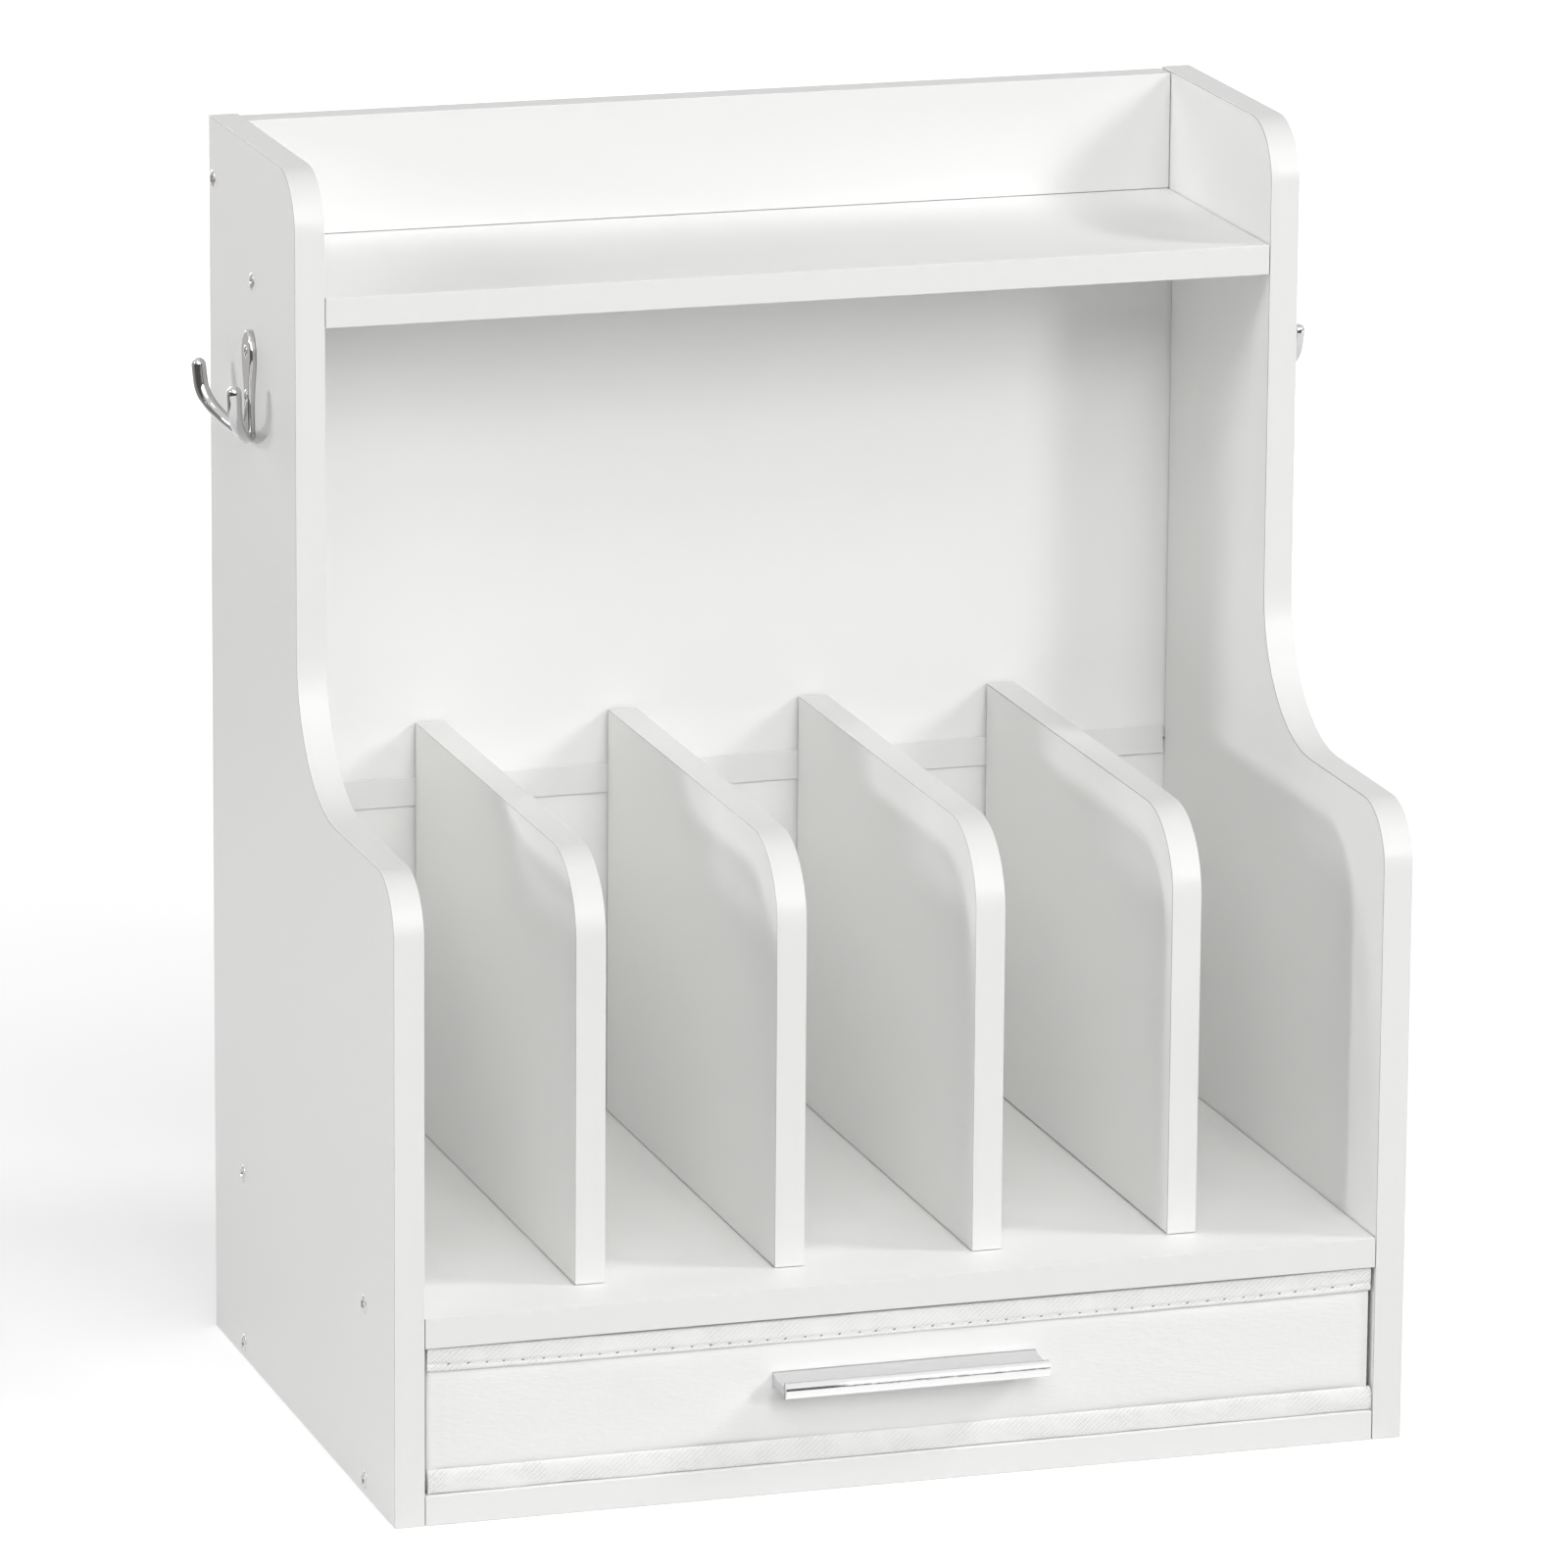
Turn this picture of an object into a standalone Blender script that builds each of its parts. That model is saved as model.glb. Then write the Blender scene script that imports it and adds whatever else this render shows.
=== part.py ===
"""Envelope sorter with a fabric drawer, made as the real one comes apart on a bench.

X runs to the right, Y towards the back and Z up. The origin is on the floor, in the middle of the boards'
footprint. Every length is in metres. Pieces that meet keep a hair of space between their faces.
"""

import math

import bmesh
import bpy
from mathutils import Matrix, Vector

# The carcass
WIDTH = 0.515
DEPTH = 0.342
HEIGHT = 0.627
BOARD = 0.015
SEAM = 0.0003
OVERRUN = 0.004
ARC_STEPS = 10

# The stepped outline of the side panels
UPPER_DEPTH = 0.165
STEP_HEIGHT = 0.321
TOP_CORNER_RADIUS = 0.030
STEP_CORNER_RADIUS = 0.030
STEP_FILLET_RADIUS = 0.070

# The tray on top, and the bay for the drawer
TRAY_HEIGHT = 0.0605
RAIL_DROP = 0.0010
BAY_HEIGHT = 0.074

# The dividers: the first one's middle and their pitch, as shares of the clear width
DIVIDER_COUNT = 4
FIRST_DIVIDER_SHARE = 0.190
DIVIDER_PITCH_SHARE = 0.2083
DIVIDER_HEIGHT = 0.211
DIVIDER_SETBACK = 0.033
DIVIDER_CORNER_RADIUS = 0.040

# The thin sheets behind, in grooves, and the strip that joins two of them
SHEET = 0.003
SHEET_INSET = 0.0175
GROOVE_DEPTH = 0.0045
STRIP_HEIGHT = 0.015
STRIP_WALL = 0.0010
STRIP_END_GAP = 0.0010
STRIP_PLACE_SHARE = 0.392

# Screws: head radius, sink of the head, rise of its dome, shank radius, length, tip
SIDE_SCREW = {"head": 0.0044, "sink": 0.0022, "dome": 0.0010, "shank": 0.0021, "length": 0.040, "tip": 0.004}
HOOK_SCREW = {"head": 0.0032, "sink": 0.0016, "dome": 0.0006, "shank": 0.0014, "length": 0.013, "tip": 0.003}
HANDLE_SCREW = {"head": 0.0036, "rise": 0.0018, "shank": 0.0015, "grip": 0.0045}
SCREW_SIDES = 12
SCREW_FRONT_INSET = 0.056
DIVIDER_SCREW_INSET = 0.060
DIVIDER_SCREW_SUNK = 0.0014
DOME_SHOULDER_SHARE = 0.60
DOME_SHOULDER_RISE_SHARE = 0.75
RECESS_SPAN_SHARE = 1.15
RECESS_WIDTH_SHARE = 0.30
RECESS_DEPTH_SHARE = 0.55
RECESS_TAPER_SHARE = 0.55
PAN_TOP_SHARE = 0.75

# The coat hooks: a waisted plate and two arms that end in balls
HOOK_DROP = 0.0920
HOOK_PLATE_LENGTH = 0.0560
HOOK_PLATE_HALF_WIDTH = 0.0088
HOOK_PLATE_THICKNESS = 0.0030
HOOK_PLATE_BEVEL = 0.0010
HOOK_UPPER_SCREW_DROP = 0.0105
HOOK_SCREW_PITCH = 0.0225
ARM_SPREAD = 0.0347
ARM_RISE = 0.0296
ARM_REACH = 0.0186
ARM_ROOT_RADIUS = 0.0029
ARM_MIDDLE_RADIUS = 0.0032
ARM_TIP_RADIUS = 0.0039
ARM_SIDES = 12
ARM_STEPS = 12
TIP_STEPS = 3

# Half of the plate's outline, as shares of its length (down from its top) and of its half width
PLATE_OUTLINE_SHARES = (
    (0.000, 0.00), (0.012, 0.26), (0.045, 0.52), (0.10, 0.80), (0.17, 0.97), (0.24, 1.00), (0.34, 0.90),
    (0.46, 0.70), (0.57, 0.56), (0.67, 0.50), (0.77, 0.52), (0.86, 0.60), (0.93, 0.58), (0.98, 0.36),
    (1.000, 0.00),
)

# The arm's middle line from its root to its tip, as shares of its spread, rise and reach
ARM_PATH_SHARES = (
    (0.00, 0.00, 0.18), (0.11, 0.03, 0.205), (0.28, 0.11, 0.33), (0.47, 0.21, 0.485), (0.79, 0.43, 0.79),
    (0.96, 0.66, 0.965), (1.00, 1.00, 1.00),
)

# The drawer, and how it clears its bay
FACE_INSET = 0.0030
DRAWER_SIDE_GAP = 0.0017
DRAWER_TOP_GAP = 0.0008
DRAWER_BACK_GAP = 0.0015
COVER = 0.0012
FRONT_BOARD = 0.0030
SHELL = 0.0010
STIFFENER = 0.0020
LINING = 0.0008
BASE_BOARD = 0.0025
BASE_BOARD_PLAY = 0.0006
TAPE = 0.0009
TAPE_LEG = 0.0115
BOTTOM_TAPE = 0.0018
BOTTOM_TAPE_LEG = 0.0120

# The bar handle: a thin web that ends in a thicker bead
HANDLE_LENGTH = 0.1345
HANDLE_HOLE_SPACING = 0.096
HANDLE_PROJECTION = 0.0230
HANDLE_ROOT_HEIGHT = 0.0078
HANDLE_BEAD_HEIGHT = 0.0084
HANDLE_BEAD_DEPTH = 0.0040
HANDLE_RAISE = 0.0057
BEAD_ROUND_SHARE = 0.30
BEAD_ROUND_STEPS = 3

# Half of the web's section, as shares of its depth (out from the drawer) and of half the root's height
WEB_SECTION_SHARES = (
    (0.0, 1.00), (0.06, 0.84), (0.16, 0.70), (0.32, 0.54), (0.55, 0.43), (0.80, 0.42), (1.0, 0.50),
)

# Worked out from the sizes above
INNER = WIDTH / 2 - BOARD
BOARD_RUN = INNER - SEAM
FRONT = -DEPTH / 2
BACK = DEPTH / 2
UPPER_FRONT = BACK - UPPER_DEPTH
BAY_FLOOR = BOARD
BAY_TOP = BAY_FLOOR + BAY_HEIGHT
MIDDLE_TOP = BAY_TOP + BOARD
UPPER_TOP = HEIGHT - TRAY_HEIGHT
UPPER_UNDER = UPPER_TOP - BOARD
SHEET_BACK = BACK - SHEET_INSET
SHEET_FRONT = SHEET_BACK - SHEET
STRIP_FRONT = SHEET_FRONT - SEAM - STRIP_WALL
STRIP_BACK = SHEET_BACK + SEAM + STRIP_WALL
STRIP_MIDDLE = MIDDLE_TOP + (UPPER_UNDER - MIDDLE_TOP) * STRIP_PLACE_SHARE
SHEET_TONGUE = GROOVE_DEPTH - SEAM

DRAWER_HALF = INNER - DRAWER_SIDE_GAP
DRAWER_FRONT = FRONT + FACE_INSET
DRAWER_BACK = SHEET_FRONT - DRAWER_BACK_GAP
DRAWER_BOTTOM = BAY_FLOOR + SEAM
DRAWER_TOP = BAY_TOP - DRAWER_TOP_GAP
WALL_TOP = DRAWER_TOP - TAPE - SEAM
BOARD_FRONT = DRAWER_FRONT + COVER + SEAM
SHELL_FRONT = BOARD_FRONT + FRONT_BOARD + SEAM
SHELL_HALF = DRAWER_HALF - TAPE - SEAM
SHELL_BACK = DRAWER_BACK - TAPE - SEAM
LINING_FRONT = SHELL_FRONT + SHELL + SEAM
LINING_HALF = SHELL_HALF - SHELL - SEAM - STIFFENER - SEAM
LINING_BACK = SHELL_BACK - SHELL - SEAM - STIFFENER - SEAM
LINING_BOTTOM = DRAWER_BOTTOM + SHELL + SEAM
INSIDE_FRONT = LINING_FRONT + LINING
HANDLE_Z = (BAY_FLOOR + BAY_TOP) / 2 + HANDLE_RAISE


def material(name, colour, roughness, metallic=0):
    """A plain finish: base colour, roughness and metallic value."""
    made = bpy.data.materials.new(name)
    made.use_nodes = True
    shader = made.node_tree.nodes["Principled BSDF"]
    shader.inputs["Base Color"].default_value = (*colour, 1)
    shader.inputs["Roughness"].default_value = roughness
    shader.inputs["Metallic"].default_value = metallic
    return made


def box(low, high):
    """A box between two corners."""
    bm = bmesh.new()
    bmesh.ops.create_cube(bm, size=1)
    low, high = Vector(low), Vector(high)
    size = high - low
    for v in bm.verts:
        v.co = (low + high) / 2 + Vector((v.co.x * size.x, v.co.y * size.y, v.co.z * size.z))
    return bm


def prism(outline, axis, start, end):
    """A closed outline, in the other two coordinates in order, carried from start to end along an axis."""
    def place(a, b, along):
        return {"X": (along, a, b), "Y": (a, along, b), "Z": (a, b, along)}[axis]

    bm = bmesh.new()
    near = [bm.verts.new(place(a, b, start)) for a, b in outline]
    far = [bm.verts.new(place(a, b, end)) for a, b in outline]
    bm.faces.new(near)
    bm.faces.new(reversed(far))
    count = len(outline)
    for i in range(count):
        j = (i + 1) % count
        bm.faces.new((near[i], far[i], far[j], near[j]))
    bmesh.ops.recalc_face_normals(bm, faces=bm.faces)
    return bm


def turned(profile, sides):
    """A solid turned about Z from (radius, height) pairs that start and end on the axis."""
    bm = bmesh.new()
    rings = []
    for radius, height in profile:
        if radius == 0:
            rings.append([bm.verts.new((0, 0, height))])
            continue
        turns = [2 * math.pi * k / sides for k in range(sides)]
        rings.append([bm.verts.new((radius * math.cos(a), radius * math.sin(a), height)) for a in turns])
    skin(bm, rings)
    return bm


def skin(bm, rings):
    """Faces between neighbouring rings, where a ring of one vertex is a pole."""
    for upper, lower in zip(rings, rings[1:]):
        count = max(len(upper), len(lower))
        for i in range(count):
            j = (i + 1) % count
            above = [upper[k % len(upper)] for k in (j, i)]
            below = [lower[k % len(lower)] for k in (i, j)]
            bm.faces.new(list(dict.fromkeys([*above, *below])))
    bmesh.ops.recalc_face_normals(bm, faces=bm.faces)


def arc(centre, radius, start, end, steps=ARC_STEPS):
    """Points on a round stretch, from one angle to another in degrees."""
    angles = [math.radians(start + (end - start) * k / steps) for k in range(steps + 1)]
    return [(centre[0] + radius * math.cos(a), centre[1] + radius * math.sin(a)) for a in angles]


def mesh_of(bm, name):
    mesh = bpy.data.meshes.new(name)
    bm.to_mesh(mesh)
    bm.free()
    return mesh


def link(name, mesh, parent=None, place=(0, 0, 0), turn=(0, 0, 0)):
    """An object in the scene, at a place in the whole object's own frame."""
    made = bpy.data.objects.new(name, mesh)
    bpy.context.scene.collection.objects.link(made)
    made.location = Vector(place) - (parent.location if parent else Vector())
    made.rotation_euler = turn
    made.parent = parent
    return made


def piece(name, bm, finish, parent, origin=(0, 0, 0)):
    """A sub-part made in the object's own frame, with its origin moved to a point of its own."""
    bmesh.ops.translate(bm, verts=bm.verts, vec=-Vector(origin))
    made = link(name, mesh_of(bm, name), parent, origin)
    made.data.materials.append(finish)
    return made


def cut(target, cutters):
    """Takes away the space of each cutter, which are bmeshes in the object's own frame."""
    whole = bmesh.new()
    for bm in cutters:
        part = mesh_of(bm, "cutter")
        whole.from_mesh(part)
        bpy.data.meshes.remove(part)
    made = link(target.name + "_cutter", mesh_of(whole, target.name + "_cutter"))
    made.hide_render = True
    made.display_type = "WIRE"
    modifier = target.modifiers.new("cut", "BOOLEAN")
    modifier.operation = "DIFFERENCE"
    modifier.object = made
    return made


def evaluated_mesh(target, name):
    """The mesh of an object with its modifiers applied."""
    graph = bpy.context.evaluated_depsgraph_get()
    made = bpy.data.meshes.new_from_object(target.evaluated_get(graph))
    made.name = name
    return made


def remove(objects):
    for old in objects:
        bpy.data.objects.remove(old)


def smooth(mesh, degrees=40):
    mesh.shade_smooth()
    mesh.set_sharp_from_angle(angle=math.radians(degrees))


def moved(bm, matrix):
    bmesh.ops.transform(bm, matrix=matrix, verts=bm.verts)
    return bm


def towards(direction):
    """The turn that points a screw's head, its local +Z, in a direction."""
    return Vector(direction).to_track_quat("Z", "Y").to_euler()


def placed(bm, place, direction):
    return moved(bm, Matrix.Translation(Vector(place)) @ towards(direction).to_matrix().to_4x4())


def screw_seat(screw):
    """The room that a sunk screw takes: its head's cone, its shank and a way out above it."""
    head = screw["head"] + SEAM
    shank = screw["shank"] + SEAM
    depth = screw["length"] + SEAM
    return turned(
        [(0, OVERRUN), (head, OVERRUN), (head, 0), (shank, -screw["sink"]), (shank, -depth), (0, -depth)],
        SCREW_SIDES,
    )


def cross_recess(screw):
    """A plus-shaped pit that narrows downwards, for the screwdriver."""
    arm = screw["head"] * RECESS_SPAN_SHARE / 2
    half = screw["head"] * RECESS_WIDTH_SHARE / 2
    deep = -screw["sink"] * RECESS_DEPTH_SHARE
    plus = [
        (arm, -half), (arm, half), (half, half), (half, arm), (-half, arm), (-half, half),
        (-arm, half), (-arm, -half), (-half, -half), (-half, -arm), (half, -arm), (half, -half),
    ]
    bm = prism(plus, "Z", deep, screw["dome"] + OVERRUN)
    for v in bm.verts:
        if v.co.z < 0:
            v.co.xy *= RECESS_TAPER_SHARE
    return bm


def sunk_screw_mesh(name, screw, finish):
    """A wood screw with a low domed head, a cross recess and a pointed end."""
    head, dome, shank, length = screw["head"], screw["dome"], screw["shank"], screw["length"]
    profile = [
        (0, dome), (head * DOME_SHOULDER_SHARE, dome * DOME_SHOULDER_RISE_SHARE), (head, 0),
        (shank, -screw["sink"]), (shank, screw["tip"] - length), (0, -length),
    ]
    body = link(name, mesh_of(turned(profile, SCREW_SIDES), name))
    cutter = cut(body, [cross_recess(screw)])
    mesh = evaluated_mesh(body, name)
    remove([body, cutter])
    mesh.materials.clear()
    mesh.materials.append(finish)
    smooth(mesh)
    return mesh


def panel_outline():
    """The side panel's outline in Y and Z, from its front foot round by the back."""
    fillet = min(STEP_FILLET_RADIUS, UPPER_FRONT - FRONT - STEP_CORNER_RADIUS)
    top = arc((UPPER_FRONT + TOP_CORNER_RADIUS, HEIGHT - TOP_CORNER_RADIUS), TOP_CORNER_RADIUS, 90, 180)
    hollow = arc((UPPER_FRONT - fillet, STEP_HEIGHT + fillet), fillet, 0, -90)
    step = arc((FRONT + STEP_CORNER_RADIUS, STEP_HEIGHT - STEP_CORNER_RADIUS), STEP_CORNER_RADIUS, 90, 180)
    return [(FRONT, 0), (BACK, 0), (BACK, HEIGHT), *top, *hollow, *step]


def side_screw_places():
    """Where the screws sit on a side panel, as (Y, Z): rail, upper shelf, middle shelf and bottom board."""
    rail_middle = (UPPER_TOP + HEIGHT - RAIL_DROP) / 2
    rows = [(BACK - BOARD / 2, rail_middle), (BACK - UPPER_DEPTH / 2, UPPER_TOP - BOARD / 2)]
    for height in (MIDDLE_TOP - BOARD / 2, BOARD / 2):
        rows += [(BACK - SCREW_FRONT_INSET, height), (FRONT + SCREW_FRONT_INSET, height)]
    return rows


SIDE_SCREW_NAMES = ("rail", "upper_shelf", "middle_back", "middle_front", "bottom_back", "bottom_front")
SIDES = (("left", -1), ("right", 1))


def side_seats(rows, sides=(-1, 1)):
    """Seats for the screws in the given rows of side_screw_places, in one side or both."""
    places = side_screw_places()
    return [
        placed(screw_seat(SIDE_SCREW), (side * WIDTH / 2, *places[row]), (side, 0, 0))
        for side in sides
        for row in rows
    ]


def groove(low_z, high_z, reach):
    """The slot that a back sheet's edge sits in, across the object out to a reach each way."""
    return box((-reach, SHEET_FRONT - SEAM, low_z), (reach, SHEET_BACK + SEAM, high_z))


def side_panels(laminate, parent):
    low, high = BAY_FLOOR - GROOVE_DEPTH, UPPER_UNDER + GROOVE_DEPTH
    for name, side in SIDES:
        start, end = sorted((side * INNER, side * WIDTH / 2))
        panel = piece(name + "_side_panel", prism(panel_outline(), "X", start, end), laminate, parent,
                      (side * WIDTH / 2, FRONT, 0))
        seats = side_seats(range(len(side_screw_places())), (side,))
        pilots = [placed(screw_seat(HOOK_SCREW), place, (side, 0, 0)) for place in hook_screw_places(side)]
        slot_start, slot_end = sorted((side * (INNER - OVERRUN), side * (INNER + GROOVE_DEPTH)))
        slot = box((slot_start, SHEET_FRONT - SEAM, low), (slot_end, SHEET_BACK + SEAM, high))
        cut(panel, [*seats, *pilots, slot])


def shelves(laminate, parent):
    over = INNER + OVERRUN
    bottom = piece("bottom_board", box((-BOARD_RUN, FRONT, 0), (BOARD_RUN, BACK, BOARD)), laminate, parent)
    cut(bottom, [*side_seats((4, 5)), groove(BAY_FLOOR - GROOVE_DEPTH, BAY_FLOOR + OVERRUN, over)])

    middle = piece("middle_shelf", box((-BOARD_RUN, FRONT, BAY_TOP), (BOARD_RUN, BACK, MIDDLE_TOP)), laminate,
                   parent, (0, 0, BAY_TOP))
    grooves = [
        groove(BAY_TOP - OVERRUN, BAY_TOP + GROOVE_DEPTH, over),
        groove(MIDDLE_TOP - GROOVE_DEPTH, MIDDLE_TOP + OVERRUN, over),
    ]
    cut(middle, [*side_seats((2, 3)), *divider_seats(range(DIVIDER_COUNT)), *grooves])

    upper = piece("upper_shelf", box((-BOARD_RUN, UPPER_FRONT, UPPER_UNDER), (BOARD_RUN, BACK, UPPER_TOP)),
                  laminate, parent, (0, 0, UPPER_UNDER))
    cut(upper, [*side_seats((1,)), groove(UPPER_UNDER - OVERRUN, UPPER_UNDER + GROOVE_DEPTH, over)])

    low = UPPER_TOP + SEAM
    rail = piece("top_back_rail", box((-BOARD_RUN, BACK - BOARD, low), (BOARD_RUN, BACK, HEIGHT - RAIL_DROP)),
                 laminate, parent, (0, BACK, low))
    cut(rail, side_seats((0,)))


def back_sheets(laminate, plastic, parent):
    reach = INNER + SHEET_TONGUE
    half_web = STRIP_WALL / 2
    spans = {
        "upper_back_panel": (STRIP_MIDDLE + half_web + SEAM, UPPER_UNDER + SHEET_TONGUE),
        "lower_back_panel": (MIDDLE_TOP - SHEET_TONGUE, STRIP_MIDDLE - half_web - SEAM),
        "drawer_bay_back_panel": (BAY_FLOOR - SHEET_TONGUE, BAY_TOP + SHEET_TONGUE),
    }
    for name, (low, high) in spans.items():
        piece(name, box((-reach, SHEET_FRONT, low), (reach, SHEET_BACK, high)), laminate, parent,
              (0, SHEET_FRONT, low))

    low, high = STRIP_MIDDLE - STRIP_HEIGHT / 2, STRIP_MIDDLE + STRIP_HEIGHT / 2
    near, far = STRIP_FRONT + STRIP_WALL, STRIP_BACK - STRIP_WALL
    web_low, web_high = STRIP_MIDDLE - half_web, STRIP_MIDDLE + half_web
    section = [
        (STRIP_FRONT, low), (near, low), (near, web_low), (far, web_low), (far, low), (STRIP_BACK, low),
        (STRIP_BACK, high), (far, high), (far, web_high), (near, web_high), (near, high), (STRIP_FRONT, high),
    ]
    run = INNER - STRIP_END_GAP
    piece("back_joint_strip", prism(section, "X", -run, run), plastic, parent, (0, STRIP_FRONT, STRIP_MIDDLE))


def divider_middle(index):
    share = FIRST_DIVIDER_SHARE + DIVIDER_PITCH_SHARE * index
    return -INNER + 2 * INNER * share


def divider_screw_places(index):
    """The two points under the middle shelf where a divider's screws go in."""
    start, end = FRONT + DIVIDER_SETBACK, STRIP_FRONT - SEAM
    return [
        (divider_middle(index), y, BAY_TOP + DIVIDER_SCREW_SUNK)
        for y in (start + DIVIDER_SCREW_INSET, end - DIVIDER_SCREW_INSET)
    ]


def divider_seats(indices):
    return [
        placed(screw_seat(SIDE_SCREW), place, (0, 0, -1))
        for index in indices
        for place in divider_screw_places(index)
    ]


def dividers(laminate, parent):
    start, end = FRONT + DIVIDER_SETBACK, STRIP_FRONT - SEAM
    low = MIDDLE_TOP + SEAM
    high = low + DIVIDER_HEIGHT
    bend = DIVIDER_CORNER_RADIUS
    outline = [(start, low), (end, low), (end, high), *arc((start + bend, high - bend), bend, 90, 180)]
    for index in range(DIVIDER_COUNT):
        middle = divider_middle(index)
        body = prism(outline, "X", middle - BOARD / 2, middle + BOARD / 2)
        made = piece(f"divider_{index + 1}", body, laminate, parent, (middle, start, low))
        cut(made, divider_seats((index,)))


def screws(mesh, parent):
    """The screws through the side panels, and those from below into the dividers."""
    for name, side in SIDES:
        for label, place in zip(SIDE_SCREW_NAMES, side_screw_places()):
            link(f"{name}_{label}_screw", mesh, parent, (side * WIDTH / 2, *place), towards((side, 0, 0)))
    for index in range(DIVIDER_COUNT):
        for label, place in zip(("front", "back"), divider_screw_places(index)):
            link(f"divider_{index + 1}_{label}_screw", mesh, parent, place, towards((0, 0, -1)))


def hook_top():
    return HEIGHT - HOOK_DROP


def hook_screw_places(side):
    """Where the two screws of a hook sit, on the outer face of its plate."""
    x = side * (WIDTH / 2 + SEAM + HOOK_PLATE_THICKNESS)
    upper = hook_top() - HOOK_UPPER_SCREW_DROP
    return [(x, BACK - UPPER_DEPTH / 2, z) for z in (upper, upper - HOOK_SCREW_PITCH)]


def smooth_path(points, steps):
    """Points on one smooth curve through the given ones."""
    points = [Vector(p) for p in points]
    ends = [2 * points[0] - points[1], *points, 2 * points[-1] - points[-2]]
    spans = len(points) - 1
    made = []
    for k in range(steps + 1):
        along = k * spans / steps
        i = min(int(along), spans - 1)
        t = along - i
        a, b, c, d = ends[i:i + 4]
        made.append(((2 * b) + (c - a) * t + (2 * a - 5 * b + 4 * c - d) * t * t
                     + (3 * b - a - 3 * c + d) * t * t * t) / 2)
    return made


def arm_tube():
    """Both arms of a hook as one bent bar: from one ball tip down to the root and up to the other."""
    path = [
        (-reach * ARM_REACH, spread * ARM_SPREAD, rise * ARM_RISE)
        for spread, rise, reach in ARM_PATH_SHARES
    ]
    half = smooth_path(path, ARM_STEPS)
    line, radii = [], []
    for k, point in enumerate(half):
        share = k / ARM_STEPS
        swell = max(0, 2 * share - 1)
        radius = ARM_ROOT_RADIUS + (ARM_MIDDLE_RADIUS - ARM_ROOT_RADIUS) * min(1, 2 * share)
        radii.append(radius + (ARM_TIP_RADIUS - ARM_MIDDLE_RADIUS) * swell)
        line.append(point)
    out = (half[-1] - half[-2]).normalized()
    for k in range(1, TIP_STEPS + 1):
        bend = math.pi / 2 * k / TIP_STEPS
        line.append(half[-1] + out * ARM_TIP_RADIUS * math.sin(bend))
        radii.append(ARM_TIP_RADIUS * math.cos(bend) if k < TIP_STEPS else 0)
    mirrored = [Vector((p.x, -p.y, p.z)) for p in line[:0:-1]]
    line = mirrored + line
    radii = radii[:0:-1] + radii
    return tube(line, radii, ARM_SIDES)


def tube(line, radii, sides):
    """A bar of changing thickness along a line. Its first and last points are poles."""
    bm = bmesh.new()
    rings = []
    across = Vector((1, 0, 0))
    for k, (point, radius) in enumerate(zip(line, radii)):
        if radius == 0:
            rings.append([bm.verts.new(point)])
            continue
        along = (line[k + 1] - line[k - 1]).normalized()
        across = (across - along * across.dot(along)).normalized()
        other = along.cross(across)
        turns = [2 * math.pi * i / sides for i in range(sides)]
        spokes = [across * math.cos(a) + other * math.sin(a) for a in turns]
        rings.append([bm.verts.new(point + spoke * radius) for spoke in spokes])
    skin(bm, rings)
    return bm


def hook_mesh(chrome):
    """A hook as it hangs on the left panel: its root's middle is the origin, and the wall faces +X."""
    root_drop = HOOK_PLATE_LENGTH - ARM_ROOT_RADIUS
    half = [(width * HOOK_PLATE_HALF_WIDTH, root_drop - drop * HOOK_PLATE_LENGTH)
            for drop, width in PLATE_OUTLINE_SHARES]
    outline = half + [(-y, z) for y, z in half[-2:0:-1]]
    bm = prism(outline, "X", 0, -HOOK_PLATE_THICKNESS + HOOK_PLATE_BEVEL)
    face = min(bm.faces, key=lambda f: f.calc_center_median().x)
    bmesh.ops.inset_region(bm, faces=[face], thickness=HOOK_PLATE_BEVEL, depth=HOOK_PLATE_BEVEL)
    plate = link("plate", mesh_of(bm, "plate"))
    arms = link("arms", mesh_of(arm_tube(), "arms"))
    join = plate.modifiers.new("join", "BOOLEAN")
    join.operation = "UNION"
    join.object = arms
    upper = root_drop - HOOK_UPPER_SCREW_DROP
    seats = [
        placed(screw_seat(HOOK_SCREW), (-HOOK_PLATE_THICKNESS, 0, z), (-1, 0, 0))
        for z in (upper, upper - HOOK_SCREW_PITCH)
    ]
    cutter = cut(plate, seats)
    mesh = evaluated_mesh(plate, "hook")
    remove([plate, arms, cutter])
    mesh.materials.clear()
    mesh.materials.append(chrome)
    smooth(mesh)
    return mesh


def hooks(chrome, parent):
    mesh = hook_mesh(chrome)
    screw = sunk_screw_mesh("hook_screw", HOOK_SCREW, chrome)
    root = hook_top() - HOOK_PLATE_LENGTH + ARM_ROOT_RADIUS
    for name, side in SIDES:
        place = (side * (WIDTH / 2 + SEAM), BACK - UPPER_DEPTH / 2, root)
        link(f"{name}_hook", mesh, parent, place, (0, 0, 0 if side < 0 else math.pi))
        for label, place in zip(("upper", "lower"), hook_screw_places(side)):
            link(f"{name}_hook_{label}_screw", screw, parent, place, towards((side, 0, 0)))


def handle_screw_places():
    """The middle of each handle screw's head, on the inner face of the drawer's front."""
    return [(side * HANDLE_HOLE_SPACING / 2, INSIDE_FRONT + SEAM, HANDLE_Z) for _, side in SIDES]


def handle_screw_reach():
    """How far a handle screw runs from under its head to its end."""
    return INSIDE_FRONT + SEAM - (DRAWER_FRONT - SEAM - HANDLE_SCREW["grip"])


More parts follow.
